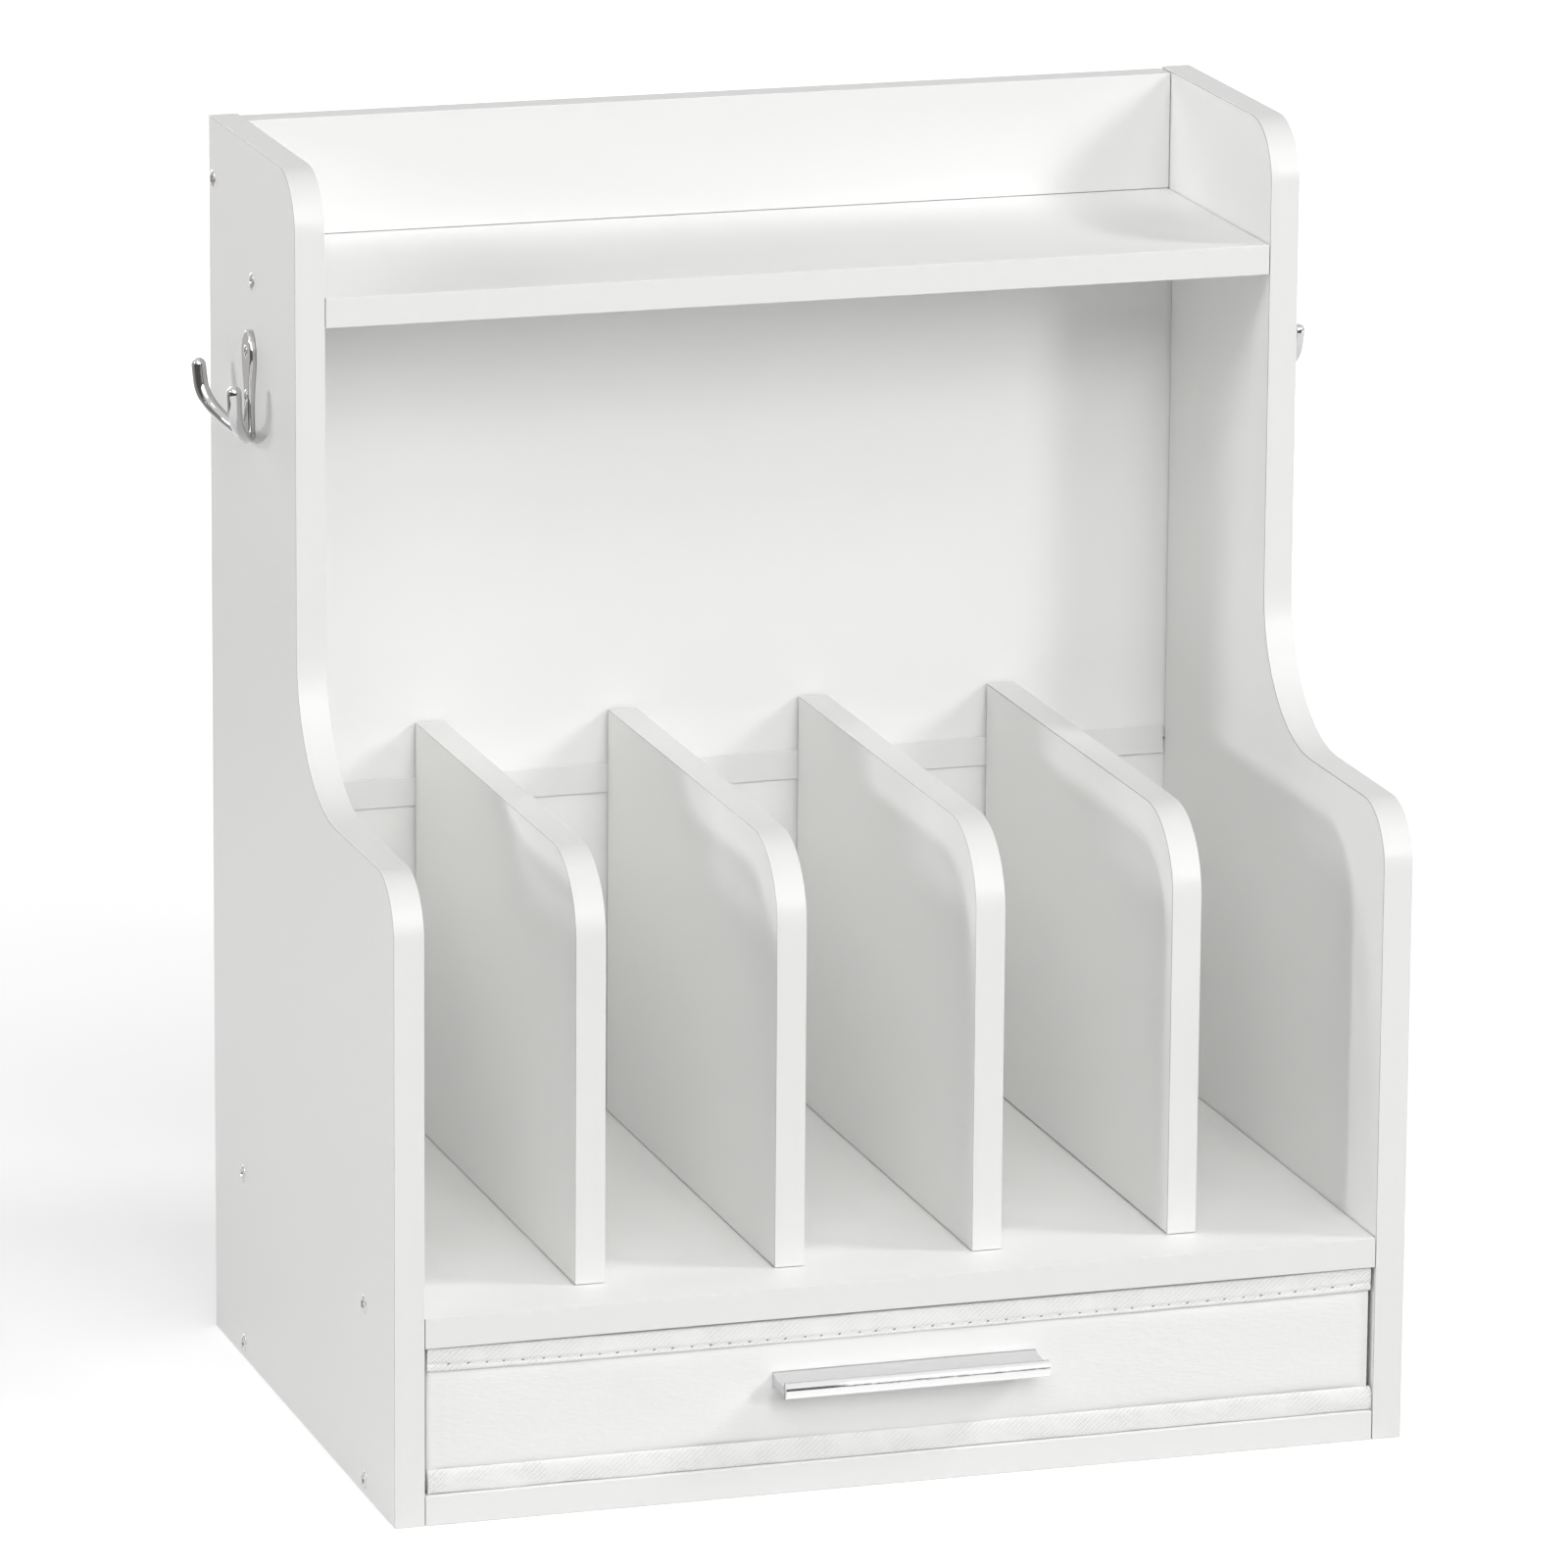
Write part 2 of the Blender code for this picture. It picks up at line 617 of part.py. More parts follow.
def handle_bores():
    """The holes for the handle's screws, from behind the front as far as the screws reach."""
    reach = handle_screw_reach() + SEAM
    radius = HANDLE_SCREW["shank"] + SEAM
    profile = [(0, OVERRUN), (radius, OVERRUN), (radius, -reach), (0, -reach)]
    return [placed(turned(profile, SCREW_SIDES), place, (0, 1, 0)) for place in handle_screw_places()]


def drawer_front(leather, fibreboard, parent):
    """The stiff board of the front, and the leather-like cover that wraps round its ends."""
    low = DRAWER_BOTTOM + TAPE + SEAM
    half_board = DRAWER_HALF - COVER - SEAM
    board = piece("drawer_front_board",
                  box((-half_board, BOARD_FRONT, low), (half_board, BOARD_FRONT + FRONT_BOARD, WALL_TOP)),
                  fibreboard, parent, (0, BOARD_FRONT, low))
    cut(board, handle_bores())
    wrap_back = BOARD_FRONT + FRONT_BOARD
    wrap_inner = DRAWER_HALF - COVER
    wrap = [
        (-DRAWER_HALF, DRAWER_FRONT), (DRAWER_HALF, DRAWER_FRONT), (DRAWER_HALF, wrap_back),
        (wrap_inner, wrap_back), (wrap_inner, DRAWER_FRONT + COVER), (-wrap_inner, DRAWER_FRONT + COVER),
        (-wrap_inner, wrap_back), (-DRAWER_HALF, wrap_back),
    ]
    cover = piece("drawer_front_cover", prism(wrap, "Z", low, WALL_TOP), leather, parent,
                  (0, DRAWER_FRONT, low))
    cut(cover, handle_bores())


def drawer_bag(cloth, fibreboard, parent):
    """The sewn shell, the stiff boards in its walls, its lining and the board laid on its floor."""
    shell = piece("drawer_fabric_shell",
                  box((-SHELL_HALF, SHELL_FRONT, DRAWER_BOTTOM), (SHELL_HALF, SHELL_BACK, WALL_TOP)),
                  cloth, parent, (0, SHELL_FRONT, DRAWER_BOTTOM))
    shell_room = box((SHELL - SHELL_HALF, SHELL_FRONT + SHELL, DRAWER_BOTTOM + SHELL),
                     (SHELL_HALF - SHELL, SHELL_BACK - SHELL, WALL_TOP + OVERRUN))
    cut(shell, [shell_room])
    cut(shell, handle_bores())

    lining = piece("drawer_lining",
                   box((-LINING_HALF, LINING_FRONT, LINING_BOTTOM), (LINING_HALF, LINING_BACK, WALL_TOP)),
                   cloth, parent, (0, LINING_FRONT, LINING_BOTTOM))
    lining_room = box((LINING - LINING_HALF, LINING_FRONT + LINING, LINING_BOTTOM + LINING),
                      (LINING_HALF - LINING, LINING_BACK - LINING, WALL_TOP + OVERRUN))
    cut(lining, [lining_room])
    cut(lining, handle_bores())

    inner, outer = LINING_HALF + SEAM, LINING_HALF + SEAM + STIFFENER
    for name, side in SIDES:
        low_x, high_x = sorted((side * inner, side * outer))
        piece(f"drawer_{name}_board",
              box((low_x, LINING_FRONT, LINING_BOTTOM), (high_x, LINING_BACK + SEAM + STIFFENER, WALL_TOP)),
              fibreboard, parent, (low_x, LINING_FRONT, LINING_BOTTOM))
    run = inner - SEAM
    piece("drawer_back_board",
          box((-run, LINING_BACK + SEAM, LINING_BOTTOM), (run, LINING_BACK + SEAM + STIFFENER, WALL_TOP)),
          fibreboard, parent, (0, LINING_BACK + SEAM, LINING_BOTTOM))

    half = LINING_HALF - LINING - BASE_BOARD_PLAY
    start = INSIDE_FRONT + BASE_BOARD_PLAY
    end = LINING_BACK - LINING - BASE_BOARD_PLAY
    floor = LINING_BOTTOM + LINING + SEAM
    piece("drawer_base_board", box((-half, start, floor), (half, end, floor + BASE_BOARD)), cloth, parent,
          (0, start, floor))


def tapes(binding, parent):
    """The bindings: over the front's top edge, along its foot and over the rim of the other three walls."""
    tape_front = DRAWER_FRONT - SEAM - TAPE
    tape_back = INSIDE_FRONT + SEAM + TAPE
    low = DRAWER_TOP - TAPE_LEG
    top = piece("drawer_top_binding",
                box((-DRAWER_HALF, tape_front, low), (DRAWER_HALF, tape_back, DRAWER_TOP)),
                binding, parent, (0, tape_front, low))
    channel = box((-DRAWER_HALF - OVERRUN, DRAWER_FRONT - SEAM, low - OVERRUN),
                  (DRAWER_HALF + OVERRUN, INSIDE_FRONT + SEAM, WALL_TOP + SEAM))
    leg, beyond = LINING_HALF - LINING - SEAM, DRAWER_HALF + OVERRUN
    ends = []
    for _, side in SIDES:
        low_x, high_x = sorted((side * leg, side * beyond))
        ends.append(box((low_x, INSIDE_FRONT, low - OVERRUN), (high_x, tape_back + OVERRUN, WALL_TOP + SEAM)))
    cut(top, [channel])
    cut(top, ends)

    foot_front = DRAWER_FRONT - SEAM - BOTTOM_TAPE
    foot_back = SHELL_FRONT - SEAM
    foot_high = DRAWER_BOTTOM + BOTTOM_TAPE_LEG
    bend = BOTTOM_TAPE / 2
    belly = arc((foot_front + bend, foot_high - bend), bend, 180, 90, BEAD_ROUND_STEPS)
    heel = arc((foot_front + bend, DRAWER_BOTTOM + bend), bend, 270, 180, BEAD_ROUND_STEPS)
    section = [
        *heel, *belly, (DRAWER_FRONT - SEAM, foot_high), (DRAWER_FRONT - SEAM, DRAWER_BOTTOM + TAPE),
        (foot_back, DRAWER_BOTTOM + TAPE), (foot_back, DRAWER_BOTTOM),
    ]
    piece("drawer_bottom_binding", prism(section, "X", -DRAWER_HALF, DRAWER_HALF), binding, parent,
          (0, foot_front, DRAWER_BOTTOM))

    start = tape_back + SEAM
    inner = LINING_HALF - LINING - SEAM - TAPE
    inner_back = LINING_BACK - LINING - SEAM - TAPE
    rim = u_plan(DRAWER_HALF, DRAWER_BACK, inner, inner_back, start)
    made = piece("drawer_rim_binding", prism(rim, "Z", low, DRAWER_TOP), binding, parent, (0, start, low))
    room = u_plan(DRAWER_HALF - TAPE, DRAWER_BACK - TAPE, inner + TAPE, inner_back + TAPE, start - OVERRUN)
    cut(made, [prism(room, "Z", low - OVERRUN, WALL_TOP + SEAM)])


def u_plan(outer, outer_back, inner, inner_back, start):
    """A U seen from above, open to the front: outer and inner half widths and backs."""
    return [
        (-outer, start), (-outer, outer_back), (outer, outer_back), (outer, start),
        (inner, start), (inner, inner_back), (-inner, inner_back), (-inner, start),
    ]


def handle(satin, parent):
    """The bar handle: its section in Y and Z, carried along X, with blind bores for its screws."""
    root = DRAWER_FRONT - SEAM
    web = HANDLE_PROJECTION - HANDLE_BEAD_DEPTH
    half_root = HANDLE_ROOT_HEIGHT / 2
    upper = [(root - depth * web, HANDLE_Z + height * half_root) for depth, height in WEB_SECTION_SHARES]
    half_bead = HANDLE_BEAD_HEIGHT / 2
    bend = HANDLE_BEAD_DEPTH * BEAD_ROUND_SHARE
    bead_back, bead_front = root - web, root - HANDLE_PROJECTION
    rear = arc((bead_back - bend, HANDLE_Z + half_bead - bend), bend, 0, 90, BEAD_ROUND_STEPS)
    fore = arc((bead_front + bend, HANDLE_Z + half_bead - bend), bend, 90, 180, BEAD_ROUND_STEPS)
    upper += [*rear, *fore]
    lower = [(y, 2 * HANDLE_Z - z) for y, z in reversed(upper)]
    half = HANDLE_LENGTH / 2
    bar = piece("drawer_handle", prism(upper + lower, "X", -half, half), satin, parent, (0, root, HANDLE_Z))
    smooth(bar.data)
    cut(bar, handle_bores())


def handle_screws(steel, parent):
    head, rise, shank = HANDLE_SCREW["head"], HANDLE_SCREW["rise"], HANDLE_SCREW["shank"]
    reach = handle_screw_reach()
    profile = [(0, rise), (head * PAN_TOP_SHARE, rise), (head, 0), (shank, 0), (shank, -reach), (0, -reach)]
    mesh = mesh_of(turned(profile, SCREW_SIDES), "handle_screw")
    mesh.materials.append(steel)
    smooth(mesh)
    for (name, _), place in zip(SIDES, handle_screw_places()):
        link(f"handle_{name}_screw", mesh, parent, place, towards((0, 1, 0)))


def build():
    remove(list(bpy.data.objects))
    laminate = material("white_laminate", (0.86, 0.86, 0.86), 0.45)
    sheet = material("white_back_sheet", (0.84, 0.84, 0.84), 0.50)
    plastic = material("white_plastic", (0.85, 0.85, 0.85), 0.40)
    chrome = material("polished_chrome", (0.75, 0.75, 0.76), 0.08, 1)
    steel = material("nickel_screw", (0.70, 0.70, 0.70), 0.25, 1)
    satin = material("satin_metal", (0.72, 0.72, 0.73), 0.30, 1)
    leather = material("white_leathercloth", (0.87, 0.87, 0.86), 0.50)
    cloth = material("white_nonwoven", (0.85, 0.85, 0.84), 0.85)
    fibreboard = material("grey_fibreboard", (0.45, 0.42, 0.38), 0.80)

    carcass = link("carcass_frame", None)
    side_panels(laminate, carcass)
    shelves(laminate, carcass)
    back_sheets(sheet, plastic, carcass)
    dividers(laminate, carcass)
    screws(sunk_screw_mesh("side_screw", SIDE_SCREW, steel), carcass)
    hooks(chrome, carcass)

    drawer = link("drawer_frame", None, None, (0, DRAWER_FRONT, DRAWER_BOTTOM))
    drawer_front(leather, fibreboard, drawer)
    drawer_bag(cloth, fibreboard, drawer)
    tapes(cloth, drawer)
    handle(satin, drawer)
    handle_screws(steel, drawer)


build()
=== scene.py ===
"""Envelope sorter with a fabric drawer: its finished surfaces, round the frame that its construction gives.

The file is laid out as an add-on and run as a script. Lengths are in metres, and angles are written in
degrees unless a comment says otherwise. X is to the right, Y to the back and Z up.
"""

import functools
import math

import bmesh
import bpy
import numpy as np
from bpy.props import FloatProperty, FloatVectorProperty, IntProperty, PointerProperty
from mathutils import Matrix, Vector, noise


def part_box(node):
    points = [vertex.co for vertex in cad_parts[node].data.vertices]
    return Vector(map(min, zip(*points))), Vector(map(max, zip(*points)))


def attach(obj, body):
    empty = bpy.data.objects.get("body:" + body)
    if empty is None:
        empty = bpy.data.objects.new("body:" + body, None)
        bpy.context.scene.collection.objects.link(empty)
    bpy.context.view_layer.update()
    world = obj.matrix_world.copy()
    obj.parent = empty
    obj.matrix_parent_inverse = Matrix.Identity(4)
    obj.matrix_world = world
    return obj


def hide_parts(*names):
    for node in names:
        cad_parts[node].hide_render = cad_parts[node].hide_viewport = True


bl_info = {
    "name": "Envelope Sorter",
    "version": (1, 0, 0),
    "blender": (4, 5, 0),
    "location": "View3D > Sidebar > Sorter",
    "description": "Finishes the sorter's boards, screws, hooks, drawer and handle, and sets its stage",
    "category": "Add Mesh",
}

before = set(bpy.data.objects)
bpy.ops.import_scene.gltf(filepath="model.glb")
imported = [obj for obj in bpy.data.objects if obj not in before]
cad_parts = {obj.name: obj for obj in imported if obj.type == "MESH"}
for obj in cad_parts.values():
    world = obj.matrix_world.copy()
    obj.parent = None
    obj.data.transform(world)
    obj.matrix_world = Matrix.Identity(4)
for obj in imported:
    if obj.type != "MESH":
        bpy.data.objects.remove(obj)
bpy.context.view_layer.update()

# Tolerances and steps of the mesh work
WELD = 0.000002
FLAT_ANGLE = math.radians(1)
EDGE_ANGLE = math.radians(35)
SEAT_FACE_AREA = 0.00003
ROUND_SEGMENTS = 3
TURN_STEPS = 6


def length(name, description, default):
    """A length that a user may change."""
    return FloatProperty(name=name, description=description, default=default, unit="LENGTH", precision=5)


def colour(name, description, default):
    """A colour that a user may change."""
    return FloatVectorProperty(
        name=name, description=description, default=default, subtype="COLOR", size=3, min=0, max=1
    )


def share(name, description, default, most=1.0):
    """A plain number from nought up that a user may change."""
    return FloatProperty(
        name=name, description=description, default=default, min=0, max=most, subtype="FACTOR"
    )


def angle(name, description, degrees):
    """An angle that a user may change, given in degrees."""
    return FloatProperty(name=name, description=description, default=math.radians(degrees), subtype="ANGLE")


class SorterBoards(bpy.types.PropertyGroup):
    """The laminated boards, their edge bands and the thin sheets behind."""

    edge_round: length("Edge round", "Radius of the rounding along every board's edges", 0.0006)
    strip_round: length("Strip round", "Radius of the rounding along the joint strip's edges", 0.0003)
    grain_size: length("Grain size", "Size of the laminate's fine pearl grain", 0.0007)
    laminate: colour("Laminate", "Colour of the boards' faces", (0.955, 0.955, 0.945))
    # The rail is the same white laminate: its darker colour is painted shade on its well-lit front face
    rail: colour("Rail laminate", "Colour of the back rail's face", (0.80, 0.80, 0.792))
    band: colour("Edge band", "Colour of the band glued to the boards' edges", (0.80, 0.80, 0.79))
    glue_line: colour("Glue line", "Colour of the fine line between face and band", (0.38, 0.38, 0.37))
    chipboard: colour("Chipboard", "Colour of the raw ends against another board", (0.30, 0.23, 0.16))
    sheet: colour("Back sheet", "Colour of the thin sheets behind", (0.915, 0.915, 0.905))
    strip: colour("Joint strip", "Colour of the plastic strip between the sheets", (0.86, 0.86, 0.855))


class SorterMetal(bpy.types.PropertyGroup):
    """The screws, the hooks and the handle."""

    recess_span: share("Recess span", "Span of a screw's cross recess, as a share of its head", 0.66)
    recess_width: share("Recess width", "Width of the recess's arms, as a share of its span", 0.32)
    hook_grain: length("Hook detail", "Finest detail that the cast arms hold", 0.00036)
    plate_thickness: length("Plate thickness", "Thickness of a hook's plate", 0.0030)
    plate_rim: length("Plate rim", "Width of the rounded rim of a hook's plate", 0.0010)
    rim_rise: length("Rim rise", "Height of the plate's rounded rim", 0.0015)
    arm_root: length("Arm root", "Radius of a hook's arm at its root", 0.0028)
    arm_middle: length("Arm middle", "Radius of a hook's arm halfway", 0.0029)
    arm_tip: length("Arm tip", "Radius of the round end of an arm", 0.0037)
    handle_round: length("Handle round", "Radius on the ends of the bar handle", 0.00025)
    nickel: colour("Nickel", "Colour of the plated screws", (0.62, 0.61, 0.60))
    chrome: colour("Chrome", "Colour of the polished hooks", (0.56, 0.56, 0.56))
    bright: colour("Bright metal", "Colour of the handle's polished bead", (0.83, 0.83, 0.83))
    satin: colour("Satin metal", "Colour of the handle's web", (0.70, 0.70, 0.71))


class SorterDrawer(bpy.types.PropertyGroup):
    """The leathercloth front and the sewn bag of the drawer."""

    grid: length("Grid", "Spacing of the points that the leathercloth's creases are made on", 0.0009)
    puff: length("Puff", "How far the front swells between its bindings", 0.0006)
    crease: length("Crease depth", "Depth of the front's soft creases", 0.00055)
    dot_pitch: length("Dot pitch", "Distance between pressed dots along their slanted row", 0.0021)
    dot_row: length("Dot rows", "Distance between the slanted rows of pressed dots", 0.0013)
    dot_depth: length("Dot depth", "Depth of a pressed dot", 0.00022)
    dot_shade: share("Dot shade", "How much darker the cloth is where it is pressed", 0.11)
    stitch_pitch: length("Stitch pitch", "Mean distance from one stitch to the next", 0.0094)
    stitch_spread: share("Stitch spread", "How uneven the stitches are, as a share of their pitch", 0.09)
    thread: length("Thread", "Thickness of the sewing thread", 0.00034)
    leather: colour("Leathercloth", "Colour of the front", (0.845, 0.845, 0.833))
    nonwoven: colour("Non-woven cloth", "Colour of the bag and its bindings", (0.85, 0.85, 0.84))
    thread_colour: colour("Thread colour", "Colour of the sewing thread", (0.86, 0.86, 0.85))


class SorterStage(bpy.types.PropertyGroup):
    """The camera, the lamps and the floor."""

    place: FloatVectorProperty(
        name="Camera", description="Where the camera stands", subtype="TRANSLATION", unit="LENGTH",
        default=(-1.5439, -4.8420, 1.6141),
    )
    yaw: angle("Yaw", "The camera's turn to the right", 17.5745)
    pitch: angle("Pitch", "The camera's tilt down", 14.4028)
    roll: angle("Roll", "The camera's roll", 0.4277)
    lens: FloatProperty(
        name="Lens", description="The lens in millimetres on a 36 mm sensor", default=243.53, unit="CAMERA"
    )
    floor_size: length("Floor", "Side of the square floor", 60.0)
    floor: colour("Floor colour", "Colour of the floor", (0.70, 0.70, 0.70))
    floor_glow: share("Floor glow", "Light that the floor adds in the camera's eyes only", 0.52)
    ambient: share("Ambient", "Strength of the light from all round", 0.0, 10)
    seed: IntProperty(name="Seed", description="Seed of everything irregular", default=7)


SETTINGS = {
    "sorter_boards": SorterBoards,
    "sorter_metal": SorterMetal,
    "sorter_drawer": SorterDrawer,
    "sorter_stage": SorterStage,
}


def settings(name):
    return getattr(bpy.context.scene, "sorter_" + name)


# Mesh work

def mesh_from(bm, name):
    mesh = bpy.data.meshes.new(name)
    bm.to_mesh(mesh)
    bm.free()
    return mesh


def new_object(name, data):
    """An object in the scene that holds a mesh, a lamp or a camera."""
    made = bpy.data.objects.new(name, data)
    bpy.context.scene.collection.objects.link(made)
    return made


def show(name, shape, *finishes):
    """An object at the origin that shows a mesh, or the mesh made from a bmesh, in its finishes."""
    mesh = mesh_from(shape, name) if isinstance(shape, bmesh.types.BMesh) else shape
    made = new_object(name, mesh)
    for place, finish in enumerate(finishes):
        if place < len(mesh.materials):
            mesh.materials[place] = finish
        else:
            mesh.materials.append(finish)
    return made


def settle(made, body, slot, *nodes):
    """Rides a finished piece on its body, in place of the nodes that it stands for."""
    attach(made, body)
    if nodes:
        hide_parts(*nodes)
    return made


def plain_mesh(made, name):
    """The mesh of an object with its modifiers applied. The object goes."""
    graph = bpy.context.evaluated_depsgraph_get()
    mesh = bpy.data.meshes.new_from_object(made.evaluated_get(graph))
    mesh.name = name
    bpy.data.objects.remove(made)
    return mesh


def node_copy(node):
    """A frame node's shape with whole flat faces in place of loose triangles."""
    bm = bmesh.new()
    bm.from_mesh(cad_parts[node].data)
    bmesh.ops.remove_doubles(bm, verts=bm.verts, dist=WELD)
    bmesh.ops.dissolve_limit(bm, angle_limit=FLAT_ANGLE, verts=bm.verts, edges=bm.edges)
    return bm


def outer_edges(bm):
    """The sharp outward edges, apart from those of small faces such as screw seats."""
    return [
        edge for edge in bm.edges
        if len(edge.link_faces) == 2 and edge.is_convex and edge.calc_face_angle() > EDGE_ANGLE
        and min(face.calc_area() for face in edge.link_faces) > SEAT_FACE_AREA
    ]


def round_edges(bm, edges, radius, segments=ROUND_SEGMENTS):
    """Rounds edges, and gives the faces of the roundings."""
    made = bmesh.ops.bevel(
        bm, geom=edges, offset=radius, segments=segments, profile=0.5, affect="EDGES", clamp_overlap=True
    )
    return set(made["faces"])


def bridge(bm, a, b):
    """Joins two closed loops of the same count with four-sided faces."""
    for k in range(len(a)):
        j = (k + 1) % len(a)
        bm.faces.new((a[k], a[j], b[j], b[k]))


def loft(bm, rings):
    """Joins closed loops of the same count into a bar with closed ends."""
    for a, b in zip(rings, rings[1:]):
        bridge(bm, a, b)
    bm.faces.new(rings[0][::-1])
    bm.faces.new(rings[-1])


def even_normals(made, keep_sharp=False):
    """Keeps flat faces flat beside the roundings."""
    if not keep_sharp:
        made.data.shade_smooth()
    modifier = made.modifiers.new("even_normals", "WEIGHTED_NORMAL")
    modifier.keep_sharp = keep_sharp
    return made


def rounded_copy(node, name, radius, finish):
    """A frame node's shape with its outer edges rounded, in one finish."""
    bm = node_copy(node)
    round_edges(bm, outer_edges(bm), radius)
    return even_normals(show(name, bm, finish))


def smooth_outward(mesh, close_holes=False):
    """Turns a mesh's faces outward and shades them smooth. Its holes may be closed first."""
    bm = bmesh.new()
    bm.from_mesh(mesh)
    if close_holes:
        bmesh.ops.holes_fill(bm, edges=[edge for edge in bm.edges if edge.is_boundary], sides=0)
    bmesh.ops.recalc_face_normals(bm, faces=bm.faces)
    bm.to_mesh(mesh)
    bm.free()
    mesh.shade_smooth()
    return mesh


def skin_mesh(points, name, closed=(False, False), caps=False):
    """A mesh over a grid of points, with its place on the grid in metres as a UV map."""
    rows, columns = points.shape[:2]
    across = np.arange(rows if closed[0] else rows - 1)
    along = np.arange(columns if closed[1] else columns - 1)
    a, b = np.meshgrid(across, along, indexing="ij")
    near, far = a * columns, (a + 1) % rows * columns
    b_next = (b + 1) % columns
    faces = np.stack([near + b, far + b, far + b_next, near + b_next], 2).reshape(-1, 4).tolist()
    if caps:
        starts = [k * columns for k in range(rows)]
        ends = [k + columns - 1 for k in starts]
        faces += [starts, ends[::-1]]
    mesh = bpy.data.meshes.new(name)
    mesh.from_pydata(points.reshape(-1, 3).tolist(), [], faces)
    mesh.validate()
    places = []
    for axis in (1, 0):
        steps = np.linalg.norm(np.diff(points, axis=axis), axis=2).mean(axis=1 - axis)
        places.append(np.concatenate([[0], np.cumsum(steps)]))
    grid = np.stack(np.meshgrid(*places), 2).reshape(-1, 2)
    corners = np.empty(len(mesh.loops), int)
    mesh.loops.foreach_get("vertex_index", corners)
    mesh.uv_layers.new(name="cloth").data.foreach_set("uv", grid[corners].ravel())
    return smooth_outward(mesh)


def uneven(points, lengths, seed):
    """Smooth noise at each point, from about -1 to 1, with a length of its own along each axis."""
    flat = points.reshape(-1, 3) / np.array(lengths) + seed
    return np.array([noise.noise(Vector(p)) for p in flat]).reshape(points.shape[:-1])


def round_turns(count):
    """The angles of a full turn in even steps, in radians."""
    return [math.tau * k / count for k in range(count)]


def turn_points(centre, radius, start, end, steps=TURN_STEPS):
    """Points on a round stretch, from one angle to another."""
    turns = np.radians(np.linspace(start, end, steps + 1))
    return [(centre[0] + radius * math.cos(t), centre[1] + radius * math.sin(t)) for t in turns]


def evenly(line, step):
    """Points at even steps along a line of points, and the direction to its left at each."""
    line = np.array(line, float)
    runs = np.linalg.norm(np.diff(line, axis=0), axis=1)
    places = np.concatenate([[0], np.cumsum(runs)])
    wanted = np.linspace(0, places[-1], max(2, round(places[-1] / step) + 1))
    points = np.stack([np.interp(wanted, places, line[:, k]) for k in range(2)], 1)
    ahead = np.gradient(points, axis=0)
    ahead /= np.linalg.norm(ahead, axis=1)[:, None]
    return points, np.stack([-ahead[:, 1], ahead[:, 0]], 1)


def direction(azimuth, elevation):
    """The way to a place round the object, by its angles in radians.

    The azimuth is 0 in front and grows to the right.
    """
    level = math.cos(elevation)
    return Vector((math.sin(azimuth) * level, -math.cos(azimuth) * level, math.sin(elevation)))


# Finishes

# The places of a Mix node's inputs for colours, and of a Random Value node's inputs for numbers
MIX_FACTOR, MIX_A, MIX_B = 0, 6, 7
RANDOM_LOW, RANDOM_HIGH = 2, 3


class Nodes:
    """A node tree with short ways to add to it."""

    def __init__(self, tree):
        self.tree = tree

    def link(self, source, socket):
        """Links an input to another node's socket, or to the first output that the other node has in use."""
        if isinstance(source, bpy.types.Node):
            source = next(output for output in source.outputs if output.enabled)
        self.tree.links.new(source, socket)

    def add(self, kind, inputs=(), **values):
        """A node with its settings, and its inputs set to values or linked to nodes or their sockets."""
        made = self.tree.nodes.new(kind)
        for name, value in values.items():
            setattr(made, name, value)
        for name, value in dict(inputs).items():
            if isinstance(value, (bpy.types.Node, bpy.types.NodeSocket)):
                self.link(value, made.inputs[name])
            else:
                made.inputs[name].default_value = value
        return made

    def maths(self, operation, *inputs):
        """A sum, product or the like of one or two values."""
        return self.add("ShaderNodeMath", dict(enumerate(inputs)), operation=operation)

    def span(self, value, start, end, low, high, **values):
        """A value from start to end, made into one from low to high."""
        inputs = {"Value": value, "From Min": start, "From Max": end, "To Min": low, "To Max": high}
        return self.add("ShaderNodeMapRange", inputs, **values)

    def seen(self):
        """1 for what the camera, metal and glass see, and 0 for what lights the object."""
        path = self.add("ShaderNodeLightPath").outputs
        both = self.maths("MAXIMUM", path["Is Camera Ray"], path["Is Glossy Ray"])
        return self.maths("MAXIMUM", both, path["Is Transmission Ray"])


